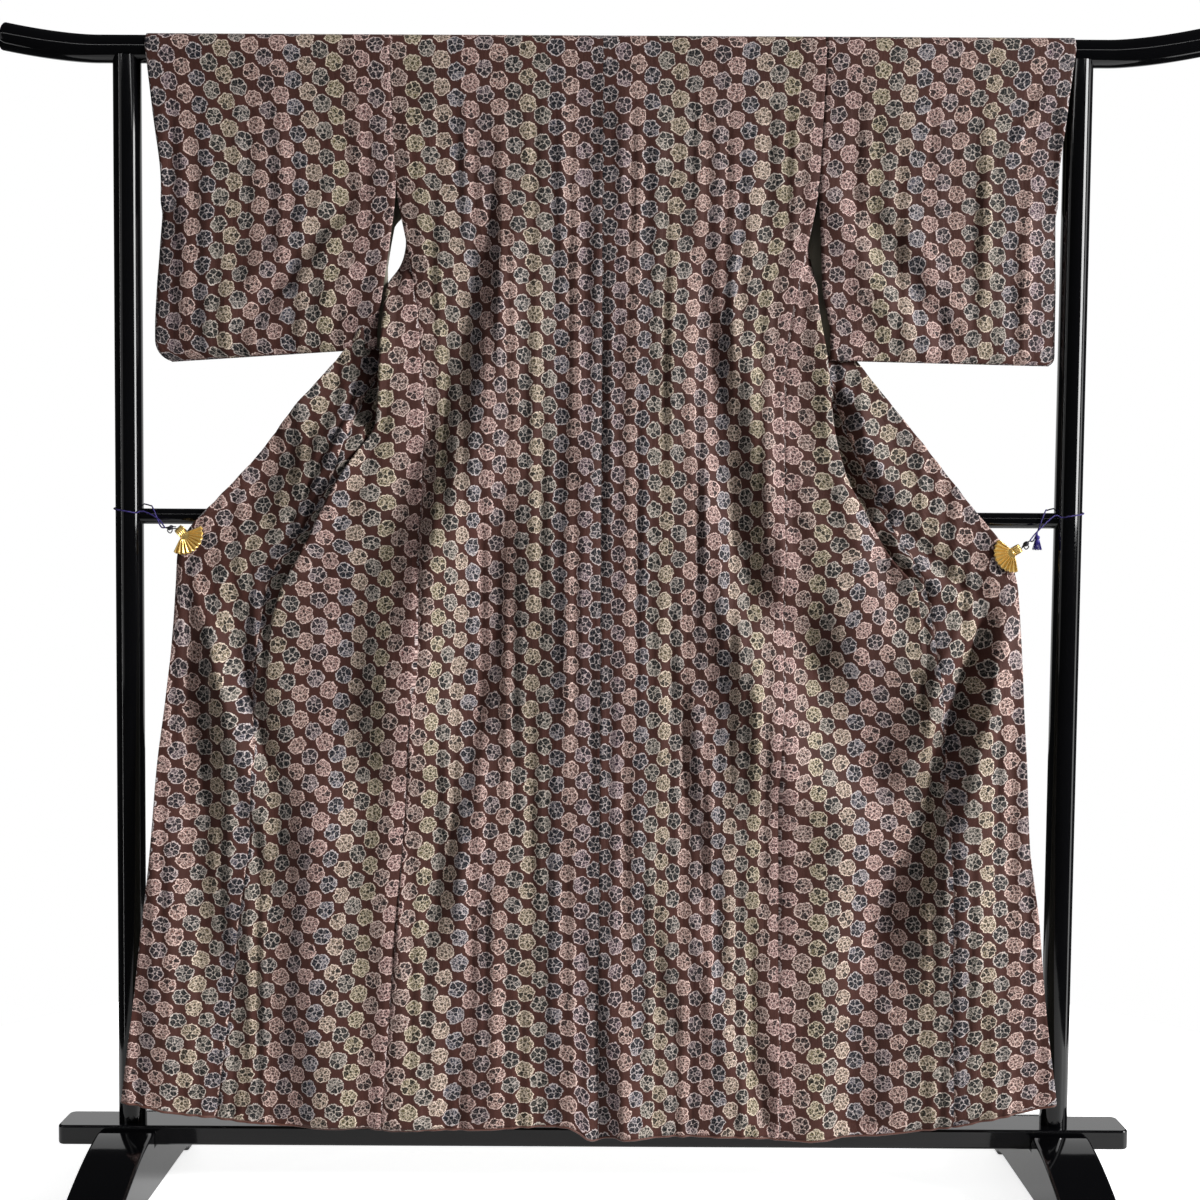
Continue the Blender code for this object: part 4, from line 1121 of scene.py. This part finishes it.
def tube(name, path, radius, look, sides=10, rounded_ends=True):
    """A round tube along points, marked with places along and round it, and smaller at rounded ends."""
    path = [Vector(p) for p in path]
    mesh = bmesh.new()
    layer = mesh.loops.layers.uv.new("UVMap")
    rings, marks = [], []
    along = 0.0
    before = Vector((0, 1, 0.01)).normalized()
    for k, point in enumerate(path):
        along += (point - path[max(k - 1, 0)]).length
        heading = (path[min(k + 1, len(path) - 1)] - path[max(k - 1, 0)]).normalized()
        before = (before - heading * before.dot(heading)).normalized()
        other = heading.cross(before)
        size = radius * ROUNDED_END if rounded_ends and k in (0, len(path) - 1) else radius
        turns = [2 * math.pi * i / sides for i in range(sides)]
        ways = [before * math.cos(a) + other * math.sin(a) for a in turns]
        rings.append([mesh.verts.new(point + way * size) for way in ways])
        marks.append(along)
    for k in range(len(rings) - 1):
        for i in range(sides):
            j = (i + 1) % sides
            face = mesh.faces.new((rings[k][i], rings[k][j], rings[k + 1][j], rings[k + 1][i]))
            spots = ((marks[k], i), (marks[k], i + 1), (marks[k + 1], i + 1), (marks[k + 1], i))
            for loop, (a, b) in zip(face.loops, spots):
                loop[layer].uv = (a, b / sides)
    mesh.faces.new(list(reversed(rings[0])))
    mesh.faces.new(rings[-1])
    bmesh.ops.recalc_face_normals(mesh, faces=mesh.faces)
    return smooth_object(name, mesh, look)


def rounded_path(points, count):
    spots = [Vector(p) for p in points]
    ends = [2 * spots[0] - spots[1]] + spots + [2 * spots[-1] - spots[-2]]
    path = []
    total = len(spots) - 1
    for n in range(count + 1):
        at = n / count * total
        i = min(int(at), total - 1)
        t = at - i
        a, b, c, d = ends[i : i + 4]
        square, cube = 2 * a - 5 * b + 4 * c - d, 3 * b - a - 3 * c + d
        path.append(0.5 * (2 * b + (c - a) * t + square * t**2 + cube * t**3))
    return [tuple(p) for p in path]


def post_x(side, z):
    return side * POST_X - STAND_LEAN * (ROD_Z - z) / (ROD_Z - BEAM_TOP)


def clip_centre(side):
    x = outline(side, CLIP_Z, "edge")
    return float(outer_layer(side, CLIP_Z) + front_depth(side, x, CLIP_Z) + (COLLAR_STEP + 0.0005) / 2)


def cord_route(side):
    """From the clip's head up over the rail, round the post and back to the head, as in the solids."""
    head_x, head_z = CLIP_HEAD[side]
    centre = clip_centre(side)
    ring = POST_RADIUS + CORD_RADIUS + 3 * GAP
    start_x = head_x + 0.0060
    post = side * post_x(side, RAIL_Z)
    points = [
        (side * start_x, centre - 0.003, head_z + 0.001),
        (side * (start_x + 0.012), centre + 0.003, head_z + 0.014),
        (side * (post - 0.024), -0.016, RAIL_Z + 0.006),
    ]
    steps = 9
    for i in range(steps + 1):
        a = math.radians(-128 + 256 * i / steps)
        lift = 0.014 * (i / steps)
        points.append((side * (post + ring * math.cos(a)), ring * math.sin(a), RAIL_Z + 0.004 + lift))
    points += [
        (side * (post - 0.028), 0.004, RAIL_Z + RAIL_RADIUS + CORD_RADIUS + 0.003),
        (side * (post - 0.036), -0.012, RAIL_Z + 0.011),
        (side * (start_x + 0.010), centre + 0.010, head_z + 0.004),
        (side * (start_x + 0.0015), centre + 0.0045, head_z + 0.001),
    ]
    return points


def build_cord(side, name, look):
    path = rounded_path(cord_route(side), 150)
    made = tube(name + "_silk", path, CORD_RADIUS, look)
    ride(made, "cord", name)


def round_edges(made, width, segments=4, angle=30, even=True):
    edge = made.modifiers.new("rounded", "BEVEL")
    edge.width = width
    edge.segments = segments
    edge.limit_method = "ANGLE"
    edge.angle_limit = math.radians(angle)
    edge.harden_normals = even


def lacquer_bar(name, ends, radius, look, node, sides):
    made = tube(name + "_lacquer", ends, radius, look, sides, rounded_ends=False)
    made.data.set_sharp_from_angle(angle=math.radians(40))
    ride(made, "lacquer", node)


ROUND_SIDES, RAIL_SIDES = 56, 40

# Power of the rod's upward curve, and how deep the posts and the rail go into their seats
ROD_CURVE = 1.6
POST_TOP_IN, RAIL_END_IN = 0.0115, 0.004

# Rounded edges of the rod's ends, the beam and the feet
ROD_EDGE, BEAM_CORNER, BEAM_EDGE, FOOT_EDGE = 0.0025, 0.010, 0.0035, 0.0045


def build_rod(look):
    bends = list(np.linspace(ROD_STRAIGHT, ROD_HALF, 17))
    path = []
    for x in [-x for x in reversed(bends)] + [-0.6, -0.3, 0, 0.3, 0.6] + bends:
        beyond = max(abs(x) - ROD_STRAIGHT, 0.0) / (ROD_HALF - ROD_STRAIGHT)
        path.append((x, 0, ROD_Z + ROD_LIFT * beyond**ROD_CURVE))
    made = tube("rod_lacquer", path, ROD_RADIUS, look, ROUND_SIDES, rounded_ends=False)
    round_edges(made, ROD_EDGE, 3, even=False)
    ride(made, "lacquer", "top_rod")


def build_beam(look):
    mesh = bmesh.new()
    bmesh.ops.create_cube(mesh, size=1)
    bmesh.ops.scale(mesh, vec=(2 * BEAM_HALF, BEAM_DEPTH, BEAM_HEIGHT), verts=mesh.verts)
    bmesh.ops.translate(mesh, vec=(-STAND_LEAN, 0, BEAM_TOP - BEAM_HEIGHT / 2), verts=mesh.verts)
    upright = [e for e in mesh.edges if abs(e.verts[0].co.z - e.verts[1].co.z) > BEAM_HEIGHT / 2]
    bmesh.ops.bevel(mesh, geom=upright, offset=BEAM_CORNER, segments=6, affect="EDGES", profile=0.5)
    made = smooth_object("beam_lacquer", mesh, look)
    round_edges(made, BEAM_EDGE)
    ride(made, "lacquer", "base_beam")


# A foot's shoulder beside the beam, where its nose begins and the steps and curve of the slope between
SHOULDER_STEP, FOOT_NOSE, FOOT_STEPS, FOOT_CURVE = 0.004, 0.028, 26, 1.5

# The rounded nose, as places in from the foot's end and down from its top there
NOSE = ((FOOT_NOSE, 0.0), (0.014, 0.006), (0.004, 0.020), (0.0, 0.036))


def build_foot(side, name, look):
    half = FOOT_LENGTH / 2
    seat, seat_z = BEAM_DEPTH / 2 + GAP, BEAM_TOP - BEAM_HEIGHT - GAP
    points = [(0, seat_z), (seat, seat_z), (seat, FOOT_SHOULDER - SHOULDER_STEP)]
    points.append((seat + 0.0015, FOOT_SHOULDER - 0.001))
    for t in np.linspace(0, 1, FOOT_STEPS + 1):
        y = seat + SHOULDER_STEP + (half - FOOT_NOSE - seat - SHOULDER_STEP) * t
        points.append((y, FOOT_SHOULDER + (FOOT_END_TOP - FOOT_SHOULDER) * t**FOOT_CURVE))
    nose = rounded_path([(half - into, FOOT_END_TOP - down, 0) for into, down in NOSE], 14)
    points += [(y, z) for y, z, _ in nose[1:]]
    pad = half - FOOT_PAD
    points += [(half, 0.0), (pad, 0.0), (pad - 0.004, 0.006), (pad - 0.012, FOOT_RELIEF), (0, FOOT_RELIEF)]
    outlined = points + [(-y, z) for y, z in reversed(points[1:-1])]
    mesh = bmesh.new()
    x = side * POST_X - STAND_LEAN - FOOT_WIDTH / 2
    face = mesh.faces.new([mesh.verts.new((x, y, z)) for y, z in outlined])
    pushed = bmesh.ops.extrude_face_region(mesh, geom=[face])
    moved = [v for v in pushed["geom"] if isinstance(v, bmesh.types.BMVert)]
    bmesh.ops.translate(mesh, vec=(FOOT_WIDTH, 0, 0), verts=moved)
    bmesh.ops.recalc_face_normals(mesh, faces=mesh.faces)
    made = smooth_object(name + "_lacquer", mesh, look)
    round_edges(made, FOOT_EDGE, angle=50)
    ride(made, "lacquer", name)


def build_stand(look):
    build_rod(look)
    for side, word in SIDES:
        heights = (BEAM_TOP + 0.0002, 0.6, 1.1, ROD_Z - POST_TOP_IN)
        ends = [(post_x(side, z), 0, z) for z in heights]
        lacquer_bar("post_" + word, ends, POST_RADIUS, look, "post_" + word, ROUND_SIDES)
    ends = [(post_x(side, RAIL_Z) - side * (POST_RADIUS - RAIL_END_IN), 0, RAIL_Z) for side, _ in SIDES]
    lacquer_bar("rail", ends, RAIL_RADIUS, look, "middle_rail", RAIL_SIDES)
    build_beam(look)
    for side, word in SIDES:
        build_foot(side, "foot_" + word, look)


# The fan's hub, the way that it opens and how far it spreads each way
CLIP_HUB = {-1: (0.5845, 0.9475), 1: (0.5785, 0.9285)}
CLIP_AXIS = {-1: 226.5, 1: 211.5}
CLIP_SPREAD = math.radians(69)

# The fan's boss and rim as radii, its half thickness and sheet, and the shares of its radius with points
CLIP_BOSS, CLIP_RIM, CLIP_HALF, CLIP_WALL = 0.0078, 0.0285, 0.0062, 0.0008
FAN_SHARES = (0.02, 0.12, 0.2, 0.26, 0.29, 0.36, 0.5, 0.65, 0.8, 0.92, 1.0)

# Pleats of the fan and steps in each, then the heights of the pleats, the boss, the leaf's bulge and its
# rim's waves, and how far the rear leaf's rim lies inside the other's
CLIP_RIBS, RIB_STEPS = 10, 6
CLIP_RIB_HEIGHT, CLIP_DOME, CLIP_BELLY, CLIP_SCALLOP = 0.0016, 0.0010, 0.0016, 0.0007
REAR_LEAF_IN = 0.0012

# The bent neck over the head: its reach, half width and flutes
CLIP_NECK, CLIP_NECK_HALF, CLIP_FLUTE = 0.0068, 0.0056, 0.00035


def clip_point(side, along, across, y):
    """A place on a clip: along its axis into the cloth and across it, from the hub."""
    hub_x, hub_z = CLIP_HUB[side]
    a = math.radians(CLIP_AXIS[side])
    x = hub_x + along * math.cos(a) - across * math.sin(a)
    return (side * x, y, hub_z + along * math.sin(a) + across * math.cos(a))


def gold_sheet(name, rows, look, *nodes):
    places = [[(0.01 * k, 0.01 * i) for i in range(len(row))] for k, row in enumerate(rows)]
    made = grid_sheet(name, rows, places, (look,), CLIP_WALL)
    ride(made, "gold", *nodes)
    return made


def build_clip(side, name, look):
    """A pleated gold fan, a fluted neck that bends over its head, and the rear leaf behind the cloth."""
    centre = clip_centre(side)
    count = CLIP_RIBS * RIB_STEPS
    half = RIB_STEPS / 2
    leaves = ((-1, CLIP_RIB_HEIGHT, "_gold", [name]), (1, CLIP_RIB_HEIGHT / 2, "_rear_gold", []))
    for leaf, ribs, word, nodes in leaves:
        rows = []
        for k in range(count + 1):
            a = CLIP_SPREAD * (2 * k / count - 1)
            fold = abs((k + half) % RIB_STEPS - half) * 2 / half - 1
            row = []
            for t in FAN_SHARES:
                r = CLIP_RIM * t
                grown = smooth((r - CLIP_BOSS) / 0.003) * (0.45 + 0.55 * t)
                dome = CLIP_DOME * (1 - min(r / CLIP_BOSS, 1.0) ** 2)
                y = CLIP_HALF - ribs * fold * grown + dome + CLIP_BELLY * math.cos(a) * t * t
                r += CLIP_SCALLOP * fold * t**6 - (REAR_LEAF_IN if leaf > 0 else 0) * t
                row.append(clip_point(side, r * math.cos(a), r * math.sin(a), centre + leaf * y))
            rows.append(row)
        made = gold_sheet(name + word, rows, look, *nodes)
        made.data.set_sharp_from_angle(angle=math.radians(24))
    bends = [(0.004, -CLIP_HALF - 0.0004), (-CLIP_NECK + 0.002, -CLIP_HALF - 0.0008)]
    for b in np.linspace(0, math.pi, 13):
        bends.append((-CLIP_NECK - CLIP_HALF * math.sin(b) * 0.75, -(CLIP_HALF + 0.0008) * math.cos(b)))
    bends.append((0.006, CLIP_HALF))
    rows = []
    for i in range(25):
        across = CLIP_NECK_HALF * (i / 12 - 1)
        push = 1 + CLIP_FLUTE / CLIP_HALF * math.cos(math.pi * i / 3)
        bent = [((along + CLIP_NECK) * push - CLIP_NECK, y * push) for along, y in bends]
        rows.append([clip_point(side, along, across, centre + y) for along, y in bent])
    gold_sheet(name + "_neck_gold", rows, look)


KNOT_TURN_RADIUS, KNOT_STRAND_RADIUS = 0.0014, 0.0008

# The slack loop under a knot, as places out, to the rear and up from the knot
SLACK_LOOP = (
    (0, 0, 0),
    (0.0034, -0.002, -0.0040),
    (-0.0004, -0.002, -0.0075),
    (-0.0030, -0.001, -0.0035),
    (0, 0, 0),
)


def build_knot(side, name, look):
    """Where a cord is tied to its clip's head: two short strands, a knot and a small slack loop."""
    centre = clip_centre(side)
    head = Vector(clip_point(side, -CLIP_NECK - CLIP_HALF, 0.001, centre))
    end = Vector(cord_route(side)[0])
    middle = head.lerp(end, 0.55)
    turns = []
    for a in np.linspace(0, 2 * math.pi, 41):
        turns.append((
            middle.x + 0.0021 * math.cos(3 * a) + 0.0010 * math.cos(a),
            middle.y + 0.0019 * math.sin(3 * a),
            middle.z + 0.0017 * math.sin(3 * a + 0.9) + 0.0011 * math.sin(a),
        ))
    strands = [
        [end, middle + Vector((0, -0.0016, 0.0012)), head + Vector((0, -0.0020, 0.0012))],
        [end, middle + Vector((0, 0.0016, -0.0012)), head + Vector((0, 0.0020, -0.0012))],
        [middle + Vector((side * x, y, z)) for x, y, z in SLACK_LOOP],
    ]
    parts = [tube(name + "_turns", turns, KNOT_TURN_RADIUS, look, sides=8)]
    for k, strand in enumerate(strands):
        parts.append(tube(f"{name}_strand_{k}", rounded_path(strand, 16), KNOT_STRAND_RADIUS, look, sides=8))
    for part in parts:
        ride(part, "cord")


def ring(mesh, centre, radius, count):
    turns = [2 * math.pi * k / count for k in range(count)]
    return [mesh.verts.new(centre + Vector((radius * math.cos(a), radius * math.sin(a), 0))) for a in turns]


def skin(mesh, rings):
    """A closed skin over rings of points."""
    for a, b in zip(rings, rings[1:]):
        for k in range(len(a)):
            j = (k + 1) % len(a)
            mesh.faces.new((a[k], a[j], b[j], b[k]))
    mesh.faces.new(rings[0])
    mesh.faces.new(rings[-1])


# The tassel's bound head from its top down, as rows of radius and height
TASSEL_HEAD = (
    (0.0006, 0),
    (0.0009, -0.0034),
    (0.0026, -0.0042),
    (0.0037, -0.0054),
    (0.0038, -0.0074),
    (0.0030, -0.0090),
    (0.0025, -0.0096),
    (0.0038, -0.0112),
    (0.0040, -0.0146),
)

# The strands under it: their number and sizes, the bundle's radius and how far it flares, and the turn in
# radians from strand to strand that spreads them evenly
TASSEL_STRANDS, STRAND_RADIUS, STRAND_LENGTH, STRAND_TOP = 64, 0.00032, 0.0104, 0.0130
TASSEL_RADIUS, TASSEL_FLARE, GOLDEN_TURN = 0.0040, 0.0032, 2.399963


def build_tassel(name, look):
    before, spot, after = cord_route(1)[:3]
    rise = abs(after[2] - before[2]) / math.dist(before[:2], after[:2])
    top = Vector(spot) - Vector((0, 0, (CORD_RADIUS + 2 * GAP) * math.sqrt(1 + rise**2) - 0.0006))
    mesh = bmesh.new()
    skin(mesh, [ring(mesh, top + Vector((0, 0, z)), radius, 20) for radius, z in TASSEL_HEAD])
    for k in range(TASSEL_STRANDS):
        a = k * GOLDEN_TURN
        out = math.sqrt((k + 0.5) / TASSEL_STRANDS)
        r, lean = TASSEL_RADIUS * out, TASSEL_FLARE * out
        root = top + Vector((r * math.cos(a), r * math.sin(a), -STRAND_TOP))
        drop = STRAND_LENGTH + 0.0010 * math.sin(k * 1.7)
        end = root + Vector((lean * math.cos(a + 0.3), lean * math.sin(a + 0.3), -drop))
        skin(mesh, [ring(mesh, root.lerp(end, t), STRAND_RADIUS, 4) for t in (0, 0.5, 1)])
    bmesh.ops.recalc_face_normals(mesh, faces=mesh.faces)
    ride(smooth_object(name + "_silk", mesh, look), "cord", name)


# A hem roll's radius, and the least step between its points
HEM_ROLL, HEM_ROLL_STEP = 0.0017, 0.003


def hem_roll(name, row, look):
    """The lining turned out as a thin roll along a panel's bottom edge."""
    path = [Vector(p) + Vector((0, 0.0002, -0.0006)) for p in row]
    thin = [path[0]]
    for p in path[1:]:
        if (p - thin[-1]).length > HEM_ROLL_STEP:
            thin.append(p)
    made = tube(name, thin, HEM_ROLL, look)
    ride(made, "crepe")
    return made


# Radii from which the floor fades and at which it ends, then its own light as the view sees it, what the fade
# adds to that, and its light for all else
FLOOR_CLEAR, FLOOR_EDGE = 0.75, 1.45
FLOOR_GLOW, FLOOR_FADE, FLOOR_BOUNCE = 0.80, 0.25, 0.35


def build_floor():
    """A pale round floor that fades into the white backdrop at its edge."""
    count = 96
    turns = [2 * math.pi * k / count for k in range(count)]
    data = bpy.data.meshes.new("floor")
    rim = [(FLOOR_EDGE * math.cos(a), FLOOR_EDGE * math.sin(a), 0) for a in turns]
    data.from_pydata(rim, [], [list(range(count))])
    n = Nodes("floor_paper")
    place = n.object_place()
    x, y, _ = n.split(place)
    away = n.math("SQRT", x * x + y * y)
    share = n.held((away - FLOOR_CLEAR) / (FLOOR_EDGE - FLOOR_CLEAR - 0.1))
    back = n.held(y * 4.0 + 0.9)
    color = n.mix(n.noise(place, 3.0, 2.0), srgb(238, 238, 238), srgb(246, 246, 246))
    n.finish(color, 0.6, Emission_Color=(1, 1, 1, 1))
    seen = Value(n, n.add("ShaderNodeLightPath").outputs["Is Camera Ray"])
    glow = seen * (share * FLOOR_FADE + FLOOR_GLOW) + (1.0 - seen) * back * FLOOR_BOUNCE
    n.put(n.shader.inputs["Emission Strength"], glow)
    made = link("floor", data, n.material)


# Softboxes: place, what they face, width, height and power in watts
LIGHT_COLUMNS = ("name", "x", "y", "z", "look_x", "look_y", "look_z", "width", "height", "power")
LIGHTS = (
    ("right", 2.8, -1.40, 1.70, 0.0, 0.0, 0.85, 0.9, 1.4, 60),
    ("left", -2.3, -1.60, 1.45, 0.0, 0.0, 0.90, 0.8, 1.8, 2.5),
    ("strip_left", -1.9, -0.85, 1.0, -0.66, 0.0, 1.0, 0.04, 2.4, 2.2),
    ("strip_top", 0.0, -2.4, 2.45, 0.0, 0.0, 1.62, 4.6, 0.07, 6.0),
    ("back", 0.0, 2.6, 1.5, 0.0, 0.0, 0.85, 4.0, 2.4, 26),
    ("strip_right", 1.75, -0.08, 1.0, 0.66, 0.0, 1.0, 0.30, 2.4, 5),
)

# The studio's own faint light, a little blue
AMBIENT_COLOR, AMBIENT_STRENGTH = (0.93, 0.96, 1.0, 1), 0.03

# The main light: far off, to the right and in front, as soft as a large window
MAIN_FROM, MAIN_SPREAD, MAIN_POWER = (1.7, -1.0, 0.9), math.radians(10), 2.95


def build_lights():
    data = bpy.data.lights.new("main", "SUN")
    data.angle = MAIN_SPREAD
    data.energy = MAIN_POWER
    link("main", data).rotation_euler = Vector(MAIN_FROM).to_track_quat("Z", "Y").to_euler()
    for row in LIGHTS:
        light = dict(zip(LIGHT_COLUMNS, row))
        data = bpy.data.lights.new(light["name"], "AREA")
        data.shape = "RECTANGLE"
        data.size, data.size_y = light["width"], light["height"]
        data.energy = light["power"]
        made = link(light["name"], data)
        made.location = (light["x"], light["y"], light["z"])
        aim = Vector((light["look_x"], light["look_y"], light["look_z"])) - made.location
        made.rotation_euler = aim.to_track_quat("-Z", "Y").to_euler()
        made.visible_camera = False
    world = bpy.data.worlds.new("studio")
    bpy.context.scene.world = world
    world.use_nodes = True
    tree = world.node_tree
    ambient = tree.nodes["Background"]
    ambient.inputs["Color"].default_value = AMBIENT_COLOR
    ambient.inputs["Strength"].default_value = AMBIENT_STRENGTH
    white = tree.nodes.new("ShaderNodeBackground")
    white.inputs["Color"].default_value = (1, 1, 1, 1)
    white.inputs["Strength"].default_value = 1.0
    path = tree.nodes.new("ShaderNodeLightPath")
    both = tree.nodes.new("ShaderNodeMixShader")
    tree.links.new(path.outputs["Is Camera Ray"], both.inputs[0])
    tree.links.new(ambient.outputs[0], both.inputs[1])
    tree.links.new(white.outputs[0], both.inputs[2])
    tree.links.new(both.outputs[0], tree.nodes["World Output"].inputs["Surface"])


# Each panel's columns on the bolt: the way that they are counted, and the first one's number
BOLT_COLUMNS = ("panel", "direction", "first")
BOLT = (
    ("back_right", 1, 0),
    ("back_left", -1, -1),
    ("front_right", -1, 15),
    ("front_left", 1, 16),
    ("okumi_right", 1, 3),
    ("okumi_left", -1, 2),
)


def build_kimono():
    lining = plain_silk("lining_silk", srgb(112, 108, 94), srgb(130, 125, 109))
    roll = plain_silk("hem_silk", srgb(74, 44, 36), srgb(104, 62, 50))
    looks = {}
    for row in BOLT:
        cut = dict(zip(BOLT_COLUMNS, row))
        looks[cut["panel"]] = (roundel_cloth("crepe_" + cut["panel"], cut["direction"], cut["first"]), lining)
    looks["sleeve_left"] = looks["back_right"]
    looks["sleeve_right"] = looks["back_left"]
    for side, word in SIDES:
        back, edge = build_back(side, "back_" + word, looks["back_" + word])
        face_front(back)
        trim = hem_roll("hem_back_" + word, edge, roll)
        front, edge = build_front(side, "front_" + word, looks["front_" + word])
        face_front(front)
        trim = hem_roll("hem_front_" + word, edge, roll)
        okumi, edge = build_okumi(side, "okumi_" + word, looks["okumi_" + word])
        face_front(okumi)
        trim = hem_roll("hem_okumi_" + word, edge, roll)
        build_sleeve(side, "sleeve_" + word, looks["sleeve_" + word])
    build_collar("collar", looks["back_right"])


def main():
    make_camera()
    thread = cord_silk("cord_silk", srgb(24, 15, 66), srgb(60, 44, 130))
    # The knot is tied in the cord itself; its near-black copy of the cord silk is painted shade in the tight
    # knot.
    shaded_knot_silk = cord_silk("knot_silk_painted_shade", srgb(7, 7, 11), srgb(24, 20, 40))
    fringe = cord_silk("tassel_silk", srgb(22, 8, 84), srgb(52, 28, 150))
    for side, word in SIDES:
        build_cord(side, "cord_" + word, thread)
    build_tassel("tassel", fringe)
    build_kimono()
    build_stand(lacquer("black_lacquer"))
    gold = gilt("gilt")
    for side, word in SIDES:
        build_clip(side, "clip_" + word, gold)
        build_knot(side, "knot_" + word, shaded_knot_silk)
    build_floor()
    build_lights()
    bpy.context.scene.view_settings.view_transform = "Standard"


main()
